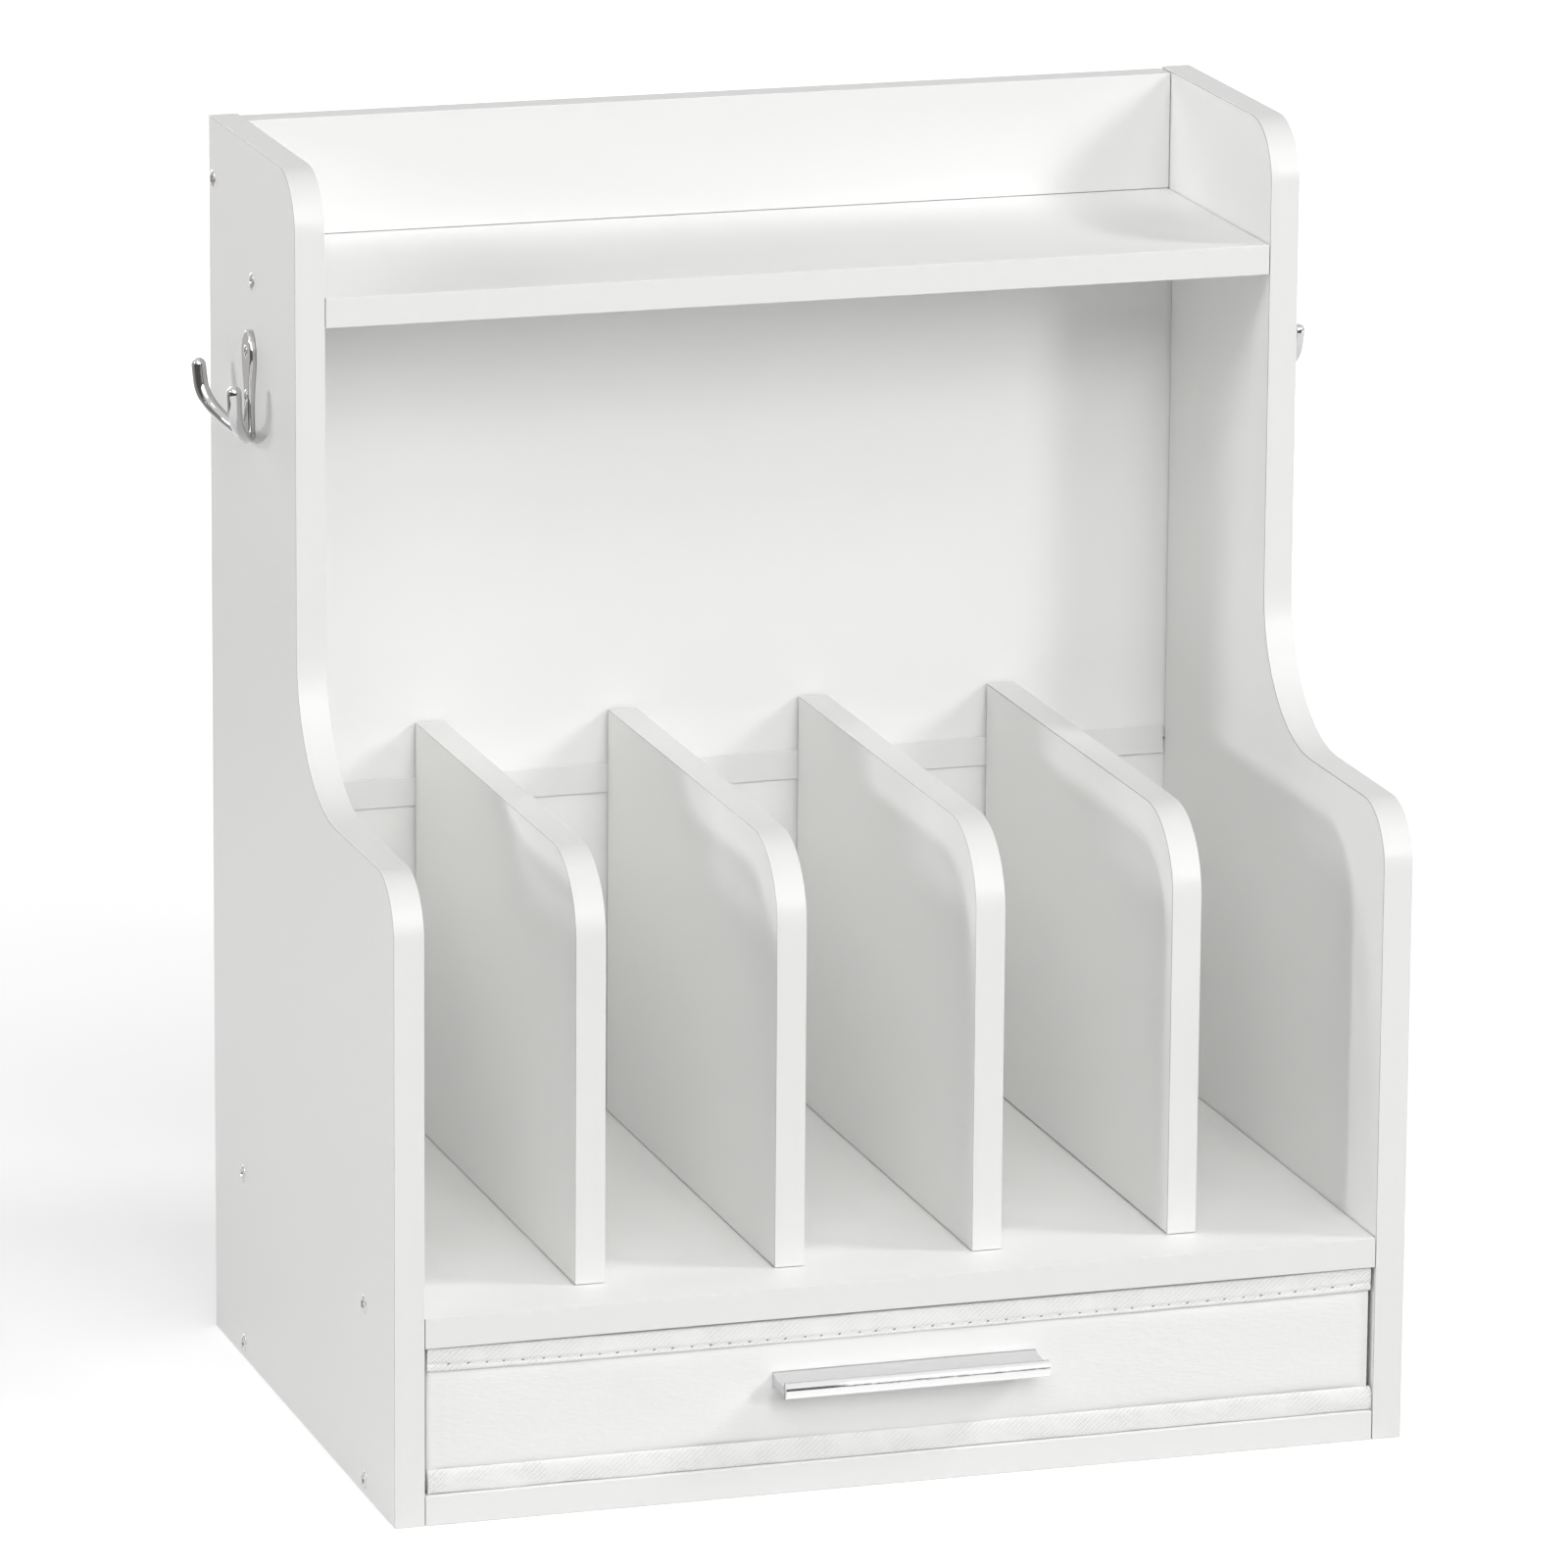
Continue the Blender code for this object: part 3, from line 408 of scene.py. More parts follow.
class Finish(Nodes):
    """A material under way: a shader, and the noise that changes its height, tone and gloss."""

    def __init__(self, name, base, roughness, metallic=0.0, **sockets):
        self.material = bpy.data.materials.new(name)
        self.material.use_nodes = True
        super().__init__(self.material.node_tree)
        self.shader = self.tree.nodes["Principled BSDF"].inputs
        self.base = base
        sockets.update(Base_Color=(*base, 1), Roughness=roughness, Metallic=metallic)
        for socket, value in sockets.items():
            self.shader[socket.replace("_", " ")].default_value = value

    def coordinates(self, source="Object"):
        return self.add("ShaderNodeTexCoord").outputs[source]

    def axis(self, name):
        """The place along one axis of the piece's own coordinates."""
        return self.add("ShaderNodeSeparateXYZ", {"Vector": self.coordinates()}).outputs[name]

    def noise(self, size, detail=2.0, turn=(0, 0, 0), distortion=0.0):
        """Noise on the piece's own coordinates, with one size, or one of its own along each axis."""
        scale = [1 / value for value in np.broadcast_to(size, 3)]
        place = {"Vector": self.coordinates(), "Rotation": turn, "Scale": scale}
        return self.add("ShaderNodeTexNoise", {
            "Vector": self.add("ShaderNodeMapping", place), "Scale": 1.0, "Detail": detail,
            "Distortion": distortion,
        })

    def bump(self, height, distance, strength=1.0):
        """Presses a height into the surface, on top of any bump that is there."""
        made = self.add("ShaderNodeBump", {"Height": height, "Distance": distance, "Strength": strength})
        under = self.shader["Normal"].links
        if under:
            self.link(under[0].from_node, made.inputs["Normal"])
        self.link(made, self.shader["Normal"])

    def tone(self, factor, change):
        """Darkens the base colour by up to a share of it, as the factor goes from 0 to 1."""
        dark = [value * (1 - change) for value in self.base]
        inputs = {MIX_FACTOR: factor, MIX_A: (*self.base, 1), MIX_B: (*dark, 1)}
        self.link(self.add("ShaderNodeMix", inputs, data_type="RGBA"), self.shader["Base Color"])

    def gloss(self, factor, low, high):
        """Varies the roughness between two values."""
        self.link(self.span(factor, 0, 1, low, high), self.shader["Roughness"])

    def glow(self, strength, shade=(1, 1, 1)):
        """Gives light of its own."""
        self.shader["Emission Color"].default_value = (*shade, 1)
        self.link(strength, self.shader["Emission Strength"])


# How many times coarser the sheets' grain is than the laminate's
SHEET_GRAIN_RATIO = 1.6
# The handle's bead is worn where hands have pulled, from here to its right end
HANDLED_FROM = -0.045
HANDLED_RUN = 0.01
UNHANDLED_SHARE = 0.12
# The leathercloth's grain: slanted creases, weakest up to GRAIN_CALM from the front's middle and full from
# GRAIN_FULL, and pebbles to the metre
GRAIN_LENGTHS = (0.0058, 0.0058, 0.0016)
GRAIN_SLANT = math.radians(13)
GRAIN_CALM, GRAIN_FULL = 0.02, 0.11
GRAIN_CALM_SHARE = 0.35
PEBBLES = 1150.0
# The pressed dots: their rows' slant and disorder, their edge from floor to rim as shares of the pitch, and
# their wear
DOT_SLANT = math.radians(-50)
DOT_DISORDER = 0.12
DOT_FLOOR, DOT_RIM = 0.12, 0.48
WEAR_START, WEAR_END = 0.35, 0.62
WORN_SHARE = 0.25
# Colour of the painted shade in the needle holes
HOLE_SHADE_COLOUR = (0.30, 0.30, 0.29)
FIBREBOARD_COLOUR = (0.50, 0.46, 0.40)


@functools.cache
def laminate(kind="laminate"):
    """The boards' melamine faces in the named colour; the rail's darker copy of it is painted shade."""
    boards = settings("boards")
    made = Finish("white_" + kind, getattr(boards, kind), roughness=0.42, Specular_IOR_Level=0.4)
    grain = made.noise(size=boards.grain_size)
    made.bump(grain, distance=0.00002, strength=0.5)
    made.gloss(grain, low=0.36, high=0.50)
    made.tone(made.noise(size=0.11, detail=1.0), change=0.015)
    return made.material


@functools.cache
def edge_band():
    made = Finish("edge_band", settings("boards").band, roughness=0.34, Specular_IOR_Level=0.45)
    ripple = made.noise(size=0.004, detail=1.0)
    made.bump(ripple, distance=0.00001, strength=0.5)
    made.gloss(ripple, low=0.30, high=0.42)
    made.tone(ripple, change=0.01)
    return made.material


@functools.cache
def glue_line():
    made = Finish("glue_line", settings("boards").glue_line, roughness=0.6)
    made.tone(made.noise(size=0.006), change=0.35)
    return made.material


@functools.cache
def chipboard():
    made = Finish("raw_chipboard", settings("boards").chipboard, roughness=0.9)
    chips = made.noise(size=0.0016, detail=4.0)
    made.tone(chips, change=0.5)
    made.bump(chips, distance=0.0002, strength=0.6)
    return made.material


@functools.cache
def back_sheet():
    boards = settings("boards")
    made = Finish("white_back_sheet", boards.sheet, roughness=0.5, Specular_IOR_Level=0.35)
    made.bump(made.noise(size=boards.grain_size * SHEET_GRAIN_RATIO), distance=0.00002, strength=0.5)
    made.tone(made.noise(size=0.09, detail=1.0), change=0.015)
    return made.material


@functools.cache
def strip_plastic():
    made = Finish("joint_strip_plastic", settings("boards").strip, roughness=0.36)
    drawn = made.noise(size=(0.30, 0.0008, 0.0008), detail=1.0)
    made.bump(drawn, distance=0.00001, strength=0.5)
    made.tone(drawn, change=0.02)
    return made.material


@functools.cache
def nickel():
    made = Finish("nickel_plate", settings("metal").nickel, roughness=0.22, metallic=1.0)
    marks = made.noise(size=0.0006, detail=3.0)
    made.gloss(marks, low=0.14, high=0.32)
    made.bump(marks, distance=0.00001, strength=0.4)
    return made.material


@functools.cache
def chrome():
    made = Finish("polished_chrome", settings("metal").chrome, roughness=0.05, metallic=1.0)
    made.gloss(made.noise(size=0.004), low=0.03, high=0.09)
    return made.material


@functools.cache
def satin_metal():
    made = Finish("satin_metal", settings("metal").satin, roughness=0.36, metallic=1.0)
    brushed = made.noise(size=(0.05, 0.00012, 0.00012))
    made.gloss(brushed, low=0.30, high=0.46)
    made.bump(brushed, distance=0.000008, strength=0.5)
    return made.material


@functools.cache
def bright_metal():
    made = Finish("bright_metal", settings("metal").bright, roughness=0.10, metallic=1.0)
    handled = made.span(made.axis("X"), HANDLED_FROM, HANDLED_FROM + HANDLED_RUN, UNHANDLED_SHARE, 1.0)
    made.gloss(handled, low=0.05, high=0.17)
    wave = made.noise(size=(0.006, 0.02, 0.004), detail=4.0)
    made.bump(made.maths("MULTIPLY", wave, handled), distance=0.00022, strength=0.9)
    return made.material


@functools.cache
def leathercloth():
    made = Finish(
        "white_leathercloth", settings("drawer").leather, roughness=0.5, Specular_IOR_Level=0.4,
        Sheen_Weight=0.06,
    )
    lines = made.noise(size=GRAIN_LENGTHS, detail=1.0, turn=(0, GRAIN_SLANT, 0), distortion=0.5)
    aside = made.maths("ABSOLUTE", made.axis("X"))
    loose = made.span(aside, GRAIN_CALM, GRAIN_FULL, GRAIN_CALM_SHARE, 1.0)
    pebble = made.add(
        "ShaderNodeTexVoronoi", {"Vector": made.coordinates(), "Scale": PEBBLES}, feature="SMOOTH_F1"
    )
    made.bump(made.maths("MULTIPLY", lines, loose), distance=0.00021)
    made.bump(pebble, distance=0.00005, strength=0.6)
    made.tone(made.noise(size=0.05, detail=1.0), change=0.02)
    made.gloss(pebble, low=0.42, high=0.58)
    return made.material


def fleece(name):
    """White non-woven cloth of matted fibres."""
    made = Finish(
        name, settings("drawer").nonwoven, roughness=0.85, Specular_IOR_Level=0.25, Sheen_Weight=0.12
    )
    made.bump(made.noise(size=(0.0012, 0.0005, 0.0005), detail=3.0), distance=0.00006, strength=0.6)
    return made


@functools.cache
def plain_cloth():
    made = fleece("plain_nonwoven")
    made.tone(made.noise(size=0.012), change=0.03)
    return made.material


@functools.cache
def dotted_cloth():
    """The bindings' cloth, with slanted rows of pressed dots."""
    cloth = settings("drawer")
    made = fleece("dotted_nonwoven")
    rows = made.add(
        "ShaderNodeMapping",
        {"Vector": made.coordinates("UV"), "Rotation": (0, 0, DOT_SLANT),
         "Scale": (cloth.dot_pitch, cloth.dot_row, 1)},
        vector_type="TEXTURE",
    )
    lattice = made.add(
        "ShaderNodeTexVoronoi", {"Vector": rows, "Scale": 1.0, "Randomness": DOT_DISORDER},
        voronoi_dimensions="2D",
    )
    press = made.span(lattice, DOT_FLOOR, DOT_RIM, 1.0, 0.0, interpolation_type="SMOOTHSTEP")
    wear = made.span(made.noise(size=0.016, detail=1.0), WEAR_START, WEAR_END, WORN_SHARE, 1.0)
    dots = made.maths("MULTIPLY", press, wear)
    made.bump(made.maths("SUBTRACT", 1.0, dots), distance=cloth.dot_depth, strength=0.8)
    made.tone(dots, change=cloth.dot_shade)
    return made.material


@functools.cache
def thread():
    made = Finish("sewing_thread", settings("drawer").thread_colour, roughness=0.7, Sheen_Weight=0.2)
    made.bump(made.noise(size=0.0003), distance=0.00005, strength=0.7)
    return made.material


# The needle holes' dark lenses: painted shade where the thread dives into the cloth
@functools.cache
def needle_shade():
    made = Finish("needle_hole_painted_shade", HOLE_SHADE_COLOUR, roughness=0.95)
    made.tone(made.noise(size=0.0005), change=0.5)
    return made.material


@functools.cache
def fibreboard():
    made = Finish("grey_fibreboard", FIBREBOARD_COLOUR, roughness=0.85)
    flecks = made.noise(size=0.0015, detail=4.0)
    made.tone(flecks, change=0.45)
    made.bump(flecks, distance=0.0001, strength=0.5)
    return made.material


# Boards

WAYS = {name: Vector(way) for name, way in (
    ("X", (1, 0, 0)), ("Y", (0, 1, 0)), ("Z", (0, 0, 1)), ("-X", (-1, 0, 0)), ("-Z", (0, 0, -1)),
)}
DIVIDERS = 4
# For each board, the way that its wide faces look, and the ways that its raw ends look where it butts
BOARDS = {
    **dict.fromkeys(("left_side_panel", "right_side_panel"), ("X", ())),
    **dict.fromkeys([f"divider_{k + 1}" for k in range(DIVIDERS)], ("X", ("-Z",))),
    **dict.fromkeys(("bottom_board", "middle_shelf", "upper_shelf"), ("Z", ("X", "-X"))),
    "top_back_rail": ("Y", ("X", "-X")),
}
BACK_SHEETS = ("upper_back_panel", "lower_back_panel", "drawer_bay_back_panel")
# The places of a board's finishes
FACE, BAND, GLUE, RAW = range(4)
# The glue line shows on the upright boards, above their feet
FOOT_LINE = 0.001


def finish_board(node, wide, butts):
    """A board with rounded edges: faces in laminate, edges in band, and the glue line between them."""
    bm = node_copy(node)
    roundings = round_edges(bm, outer_edges(bm), settings("boards").edge_round)
    flat, steep = math.cos(FLAT_ANGLE), math.cos(EDGE_ANGLE)
    bm.normal_update()
    for face in bm.faces:
        lean = abs(face.normal.dot(WAYS[wide]))
        if face in roundings:
            upright = wide == "X" and face.calc_center_median().z > FOOT_LINE
            face.material_index = GLUE if upright and lean > steep else BAND
        else:
            face.material_index = FACE if lean > flat else BAND
        if any(face.normal.dot(WAYS[way]) > flat for way in butts):
            face.material_index = RAW
    name = node + "_board"
    # The back rail takes a darker copy of the laminate, as painted shade
    kind = "rail" if node == "top_back_rail" else "laminate"
    made = show(name, bm, laminate(kind), edge_band(), glue_line(), chipboard())
    return settle(even_normals(made), "carcass", "laminate", node)


class SORTER_OT_boards(bpy.types.Operator):
    """Finish the side panels, shelves, rail and dividers with rounded and banded edges"""

    bl_idname = "sorter.boards"
    bl_label = "Finish the boards"

    def execute(self, context):
        for node, (wide, butts) in BOARDS.items():
            finish_board(node, wide, butts)
        return {"FINISHED"}


class SORTER_OT_back(bpy.types.Operator):
    """Finish the thin sheets behind and the plastic strip that joins two of them"""

    bl_idname = "sorter.back"
    bl_label = "Finish the back"

    def execute(self, context):
        for node in BACK_SHEETS:
            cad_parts[node].material_slots[0].material = back_sheet()
        strip = rounded_copy(
            "back_joint_strip", "joint_strip", settings("boards").strip_round, strip_plastic()
        )
        settle(strip, "carcass", "strip_plastic", "back_joint_strip")
        return {"FINISHED"}


# Screws

SCREW_SIDES = 40
DOME_STEPS = 6
RECESS_DEPTH_SHARE = 0.34
RECESS_DRAFT_SHARE = 0.6
SUNK_SCREW = {"dome_share": 0.23, "sink_share": 0.50, "shank_share": 0.48}
PAN_SCREW = {"dome_share": 0.50, "sink_share": 0.0, "shank_share": 0.42}


def screw_blank(radius, run, shape):
    """A screw that points up with its head's rim at the origin and a low dome."""
    dome, sink, shank = (radius * shape[key] for key in ("dome_share", "sink_share", "shank_share"))
    rise = [(radius * math.sin(t), dome * math.cos(t)) for t in np.linspace(0, math.pi / 2, DOME_STEPS + 1)]
    profile = [*rise, (shank, -sink - WELD), (shank, sink + dome - run), (0, dome - run)]
    bm = bmesh.new()
    line = [bm.verts.new((x, 0, z)) for x, z in profile]
    for a, b in zip(line, line[1:]):
        bm.edges.new((a, b))
    bmesh.ops.spin(
        bm, geom=bm.verts[:] + bm.edges[:], cent=(0, 0, 0), axis=(0, 0, 1), angle=math.tau,
        steps=SCREW_SIDES, use_merge=True,
    )
    bmesh.ops.remove_doubles(bm, verts=bm.verts, dist=WELD)
    bmesh.ops.recalc_face_normals(bm, faces=bm.faces)
    return show("screw_template", bm, nickel())


def cross_cutter(radius, dome):
    """The cross recess of a screw's head as a solid, narrower at its floor."""
    metal = settings("metal")
    span = radius * metal.recess_span
    half = span * metal.recess_width
    cross = [(span, -half), (span, half), (half, half)]
    for _ in range(3):
        cross += [(-y, x) for x, y in cross[-3:]]
    draft, depth = RECESS_DRAFT_SHARE, radius * RECESS_DEPTH_SHARE
    bm = bmesh.new()
    floor = [bm.verts.new((x * draft, y * draft, -depth)) for x, y in cross]
    mouth = [bm.verts.new((x, y, 2 * dome)) for x, y in cross]
    loft(bm, (floor, mouth))
    bmesh.ops.recalc_face_normals(bm, faces=bm.faces)
    return show("screw_recess", bm, nickel())


def screw_template(radius, run, shape):
    """The mesh of a whole screw with its cross recess."""
    head = screw_blank(radius, run, shape)
    recess = cross_cutter(radius, radius * shape["dome_share"])
    cut = head.modifiers.new("recess", "BOOLEAN")
    cut.operation = "DIFFERENCE"
    cut.object = recess
    mesh = plain_mesh(head, "screw_template")
    bpy.data.objects.remove(recess)
    mesh.shade_smooth()
    mesh.set_sharp_from_angle(angle=EDGE_ANGLE)
    return mesh


@functools.cache
def repeats_tree():
    """Geometry nodes that put a model on each point, its Z along the point's facing, each a little unlike."""
    tree = bpy.data.node_groups.new("models_on_points", "GeometryNodeTree")
    for name, kind in (
        ("Points", "Geometry"), ("Model", "Object"), ("Finish", "Material"), ("Spin", "Float"),
        ("Smallest", "Float"), ("Largest", "Float"), ("Seed", "Int"),
    ):
        tree.interface.new_socket(name, in_out="INPUT", socket_type="NodeSocket" + kind)
    tree.interface.new_socket("Models", in_out="OUTPUT", socket_type="NodeSocketGeometry")
    nodes = Nodes(tree)
    start = tree.nodes.new("NodeGroupInput").outputs
    facing = nodes.add("GeometryNodeInputNamedAttribute", {"Name": "facing"}, data_type="FLOAT_VECTOR")
    along = nodes.add("FunctionNodeAlignRotationToVector", {"Vector": facing}, axis="Z")
    chance = nodes.add(
        "FunctionNodeRandomValue", {RANDOM_HIGH: start["Spin"], "Seed": start["Seed"]}, data_type="FLOAT"
    )
    spin = nodes.add("FunctionNodeAxisAngleToRotation", {"Angle": chance})
    turned = nodes.add(
        "FunctionNodeRotateRotation", {"Rotation": along, "Rotate By": spin}, rotation_space="LOCAL"
    )
    size = nodes.add(
        "FunctionNodeRandomValue",
        {RANDOM_LOW: start["Smallest"], RANDOM_HIGH: start["Largest"], "Seed": start["Seed"]},
        data_type="FLOAT",
    )
    model = nodes.add("GeometryNodeObjectInfo", {"Object": start["Model"]})
    placed = nodes.add("GeometryNodeInstanceOnPoints", {
        "Points": start["Points"], "Instance": model.outputs["Geometry"], "Rotation": turned, "Scale": size,
    })
    real = nodes.add("GeometryNodeRealizeInstances", {"Geometry": placed})
    dressed = nodes.add("GeometryNodeSetMaterial", {"Geometry": real, "Material": start["Finish"]})
    nodes.add("NodeGroupOutput", {"Models": dressed})
    return tree


def repeated(name, places, facings, model, finish, spin=0.0, smallest=1.0, largest=1.0):
    """A plain mesh of one model at many places, made by geometry nodes whose inputs are set before use."""
    base = bpy.data.meshes.new(name)
    base.from_pydata([tuple(place) for place in places], [], [])
    flat = [value for facing in facings for value in facing]
    base.attributes.new("facing", "FLOAT_VECTOR", "POINT").data.foreach_set("vector", flat)
    template = show(name + "_model", model, finish)
    holder = show(name, base)
    modifier = holder.modifiers.new("repeat", "NODES")
    modifier.node_group = repeats_tree()
    sockets = {item.name: item.identifier for item in repeats_tree().interface.items_tree}
    inputs = {"Model": template, "Finish": finish, "Spin": spin, "Smallest": smallest, "Largest": largest,
              "Seed": settings("stage").seed}
    for label, value in inputs.items():
        modifier[sockets[label]] = value
    mesh = plain_mesh(holder, name)
    bpy.data.objects.remove(template)
    return mesh


def head_side(node, axis):
    """Which end of a screw node is its head: the end with the wider points."""
    points = np.array([v.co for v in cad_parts[node].data.vertices])
    flat = np.delete(points, axis, axis=1)
    reach = np.hypot(*(flat - (flat.min(0) + flat.max(0)) / 2).T)
    places = points[:, axis]
    near_high = places > (places.min() + places.max()) / 2
    return 1 if reach[near_high].max() > reach[~near_high].max() else -1


def screw_head(node):
    """Where a screw's head ends, which way it faces, its radius and the screw's length, from its node."""
    low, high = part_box(node)
    size = high - low
    axis = max(range(3), key=lambda k: size[k])
    facing = Vector((0, 0, 0))
    facing[axis] = head_side(node, axis)
    return (low + high) / 2 + facing * size[axis] / 2, facing, min(size) / 2, size[axis]


def place_screws(name, nodes, shape, body, slot):
    """Finished screws in place of like nodes, as one piece."""
    ends, facings, radii, runs = zip(*(screw_head(node) for node in nodes))
    dome = radii[0] * shape["dome_share"]
    mesh = repeated(
        name, [end - facing * dome for end, facing in zip(ends, facings)], facings,
        screw_template(radii[0], runs[0], shape), nickel(), spin=math.pi / 2,
    )
    return settle(show(name, mesh, nickel()), body, slot, *nodes)


class SORTER_OT_screws(bpy.types.Operator):
    """Place the finished screws: through the boards, in the hooks and behind the handle"""

    bl_idname = "sorter.screws"
    bl_label = "Place the screws"

    def execute(self, context):
        every = [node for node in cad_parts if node.endswith("_screw")]
        handle = [node for node in every if node.startswith("handle")]
        hook = [node for node in every if "hook" in node]
        board = [node for node in every if node not in handle and node not in hook]
        place_screws("board_screws", board, SUNK_SCREW, "carcass", "screw_nickel")
        place_screws("hook_screws", hook, SUNK_SCREW, "carcass", "hook_chrome")
        place_screws("handle_screws", handle, PAN_SCREW, "drawer", "screw_nickel")
        return {"FINISHED"}


# Hooks

# Half of the plate's outline, as shares of its length (down from its top) and of its half width
PLATE_SHARES = (
    (0.000, 0.00), (0.012, 0.26), (0.045, 0.52), (0.10, 0.80), (0.17, 0.97), (0.24, 1.00), (0.34, 0.90),
    (0.46, 0.70), (0.57, 0.56), (0.67, 0.50), (0.77, 0.52), (0.86, 0.60), (0.93, 0.58), (0.98, 0.36),
    (1.000, 0.00),
)
PLATE_HALF_WIDTH = 0.0088
PLATE_POINTS = 90
RIM_STEPS = 7
# The narrow level strip inside the plate's rounded rim
RIM_SOFTNESS = 0.00012
# How much wider a seat is than its screw, to all sides
SEAT_PLAY = 0.00035
# The arm's middle line from its root to its tip, as shares of its spread, rise and reach
ARM_SHARES = (
    (0.00, 0.00, 0.18), (0.13, 0.02, 0.205), (0.32, 0.08, 0.34), (0.54, 0.19, 0.53), (0.78, 0.37, 0.77),
    (0.94, 0.62, 0.94), (1.00, 1.00, 1.00),
)
ARM_SPREAD = 0.0347
ARM_RISE = 0.0296
ARM_REACH = 0.0178
# Where along the arm the radii of its root and middle hold, and from where to where its tip's does
ARM_RADIUS_PLACES = (0, 0.35, 0.8, 1)
ARM_POINTS = 48
ARM_SIDES = 28
TIP_POINTS = 8
ROOT_SWELL = (0.0036, 0.0048, 0.0034)
# How often and how strongly the joined arms are smoothed, and from which angle a hook's edges stay sharp
CAST_SMOOTHING = 5
CAST_SMOOTHING_SHARE = 0.5
CAST_EDGE_ANGLE = math.radians(30)


def smooth_line(points, steps):
    """Points on one smooth curve through the given ones."""
    points = np.array(points, float)
    ends = np.vstack([2 * points[0] - points[1], points, 2 * points[-1] - points[-2]])
    made = []
    for place in np.linspace(0, len(points) - 1, steps + 1):
        i = min(int(place), len(points) - 2)
        t = place - i
        a, b, c, d = ends[i:i + 4]
        made.append((2 * b + (c - a) * t + (2 * a - 5 * b + 4 * c - d) * t ** 2
                     + (3 * b - a - 3 * c + d) * t ** 3) / 2)
    return np.array(made)


def add_tube(bm, line, radii, sides):
    """A closed round bar of changing thickness along a line, added to a mesh."""
    line = [Vector(p) for p in line]
    across = Vector((1, 0, 0))
    rings = []
    for k, (point, radius) in enumerate(zip(line, radii)):
        ahead = (line[min(k + 1, len(line) - 1)] - line[max(k - 1, 0)]).normalized()
        across = (across - ahead * across.dot(ahead)).normalized()
        other = ahead.cross(across)
        rings.append([
            bm.verts.new(point + (across * math.cos(t) + other * math.sin(t)) * radius)
            for t in round_turns(sides)
        ])
    loft(bm, rings)


def hook_arms(metal):
    """Both arms and their root in one soft casting, round the root's middle. The wall is on the +X side."""
    half = smooth_line(
        [(-reach * ARM_REACH, spread * ARM_SPREAD, rise * ARM_RISE) for spread, rise, reach in ARM_SHARES],
        ARM_POINTS,
    )
    tip = metal.arm_tip
    radii = np.interp(
        np.linspace(0, 1, len(half)), ARM_RADIUS_PLACES, (metal.arm_root, metal.arm_middle, tip, tip)
    )
    out = half[-1] - half[-2]
    out /= np.linalg.norm(out)
    turns = np.linspace(0, math.pi / 2, TIP_POINTS + 1)[1:-1]
    line = np.vstack([half, [half[-1] + out * tip * math.sin(t) for t in turns]])
    radii = np.concatenate([radii, [tip * math.cos(t) for t in turns]])
    other = line[:0:-1] * (1, -1, 1)
    bm = bmesh.new()
    add_tube(bm, np.vstack([other, line]), np.concatenate([radii[:0:-1], radii]), ARM_SIDES)
    swell = Matrix.Translation((half[0][0], 0, 0)) @ Matrix.Diagonal((*ROOT_SWELL, 1))
    bmesh.ops.create_uvsphere(bm, u_segments=ARM_SIDES, v_segments=ARM_SIDES, radius=1, matrix=swell)
    bmesh.ops.recalc_face_normals(bm, faces=bm.faces)
    arms = show("arms", bm, chrome())
    cast = arms.modifiers.new("cast", "REMESH")
    cast.mode = "VOXEL"
    cast.voxel_size = metal.hook_grain
    polish = arms.modifiers.new("polish", "SMOOTH")
    polish.factor = CAST_SMOOTHING_SHARE
    polish.iterations = CAST_SMOOTHING
    return show("arms", plain_mesh(arms, "arms"), chrome())


def fill_with_holes(bm, rim, holes):
    """Closes a flat face inside its rim, round its holes."""
    edges = []
    for loop in (rim, *holes):
        for a, b in zip(loop, (*loop[1:], loop[0])):
            edges.append(bm.edges.get((a, b)) or bm.edges.new((a, b)))
    bmesh.ops.triangle_fill(bm, edges=edges, use_beauty=True)


def plate_outline(top, tall):
    """The waisted plate's outline in Y and Z, and the inward direction at each of its points."""
    half = smooth_line(
        [(width * PLATE_HALF_WIDTH, top - drop * tall) for drop, width in PLATE_SHARES], PLATE_POINTS
    )
    half[0][0] = half[-1][0] = 0
    half[:, 0] = np.maximum(half[:, 0], 0)
    outline = np.vstack([half, half[-2:0:-1] * (-1, 1)])
    ahead = np.roll(outline, -1, 0) - np.roll(outline, 1, 0)
    inward = np.stack([ahead[:, 1], -ahead[:, 0]], 1)
    inward /= np.linalg.norm(inward, axis=1)[:, None]
    sample = PLATE_POINTS // 4
    inward *= np.sign((outline.mean(0) - outline[sample]) @ inward[sample])
    return outline, inward


def seat_ring(bm, height, z, radius):
    """A round loop of a screw's seat, at a height over the wall."""
    turns = round_turns(SCREW_SIDES)
    return [bm.verts.new((-height, radius * math.cos(t), z + radius * math.sin(t))) for t in turns]


def hook_plate(metal, top, tall, seats, radius):
    """The plate with its rounded rim and its screws' seats, its back on the wall at X = 0."""
    outline, inward = plate_outline(top, tall)
    rim, rise, thickness = metal.plate_rim, metal.rim_rise, metal.plate_thickness
    steps = [(0, 0), *[
        (rim * (1 - math.cos(t)), thickness - rise * (1 - math.sin(t)))
        for t in np.linspace(0, math.pi / 2, RIM_STEPS + 1)
    ], (rim + RIM_SOFTNESS, thickness)]
    bm = bmesh.new()
    rings = [
        [bm.verts.new((-height, *(point + side * inset))) for point, side in zip(outline, inward)]
        for inset, height in steps
    ]
    bore = radius - thickness * (1 - SUNK_SCREW["shank_share"])
    mouths = [seat_ring(bm, thickness, z, radius) for z in seats]
    ends = [seat_ring(bm, 0, z, bore) for z in seats]
    for a, b in (*zip(rings, rings[1:]), *zip(mouths, ends)):
        bridge(bm, a, b)
    fill_with_holes(bm, rings[-1], mouths)
    fill_with_holes(bm, rings[0], ends)
    bmesh.ops.recalc_face_normals(bm, faces=bm.faces)
    return show("plate", bm, chrome())


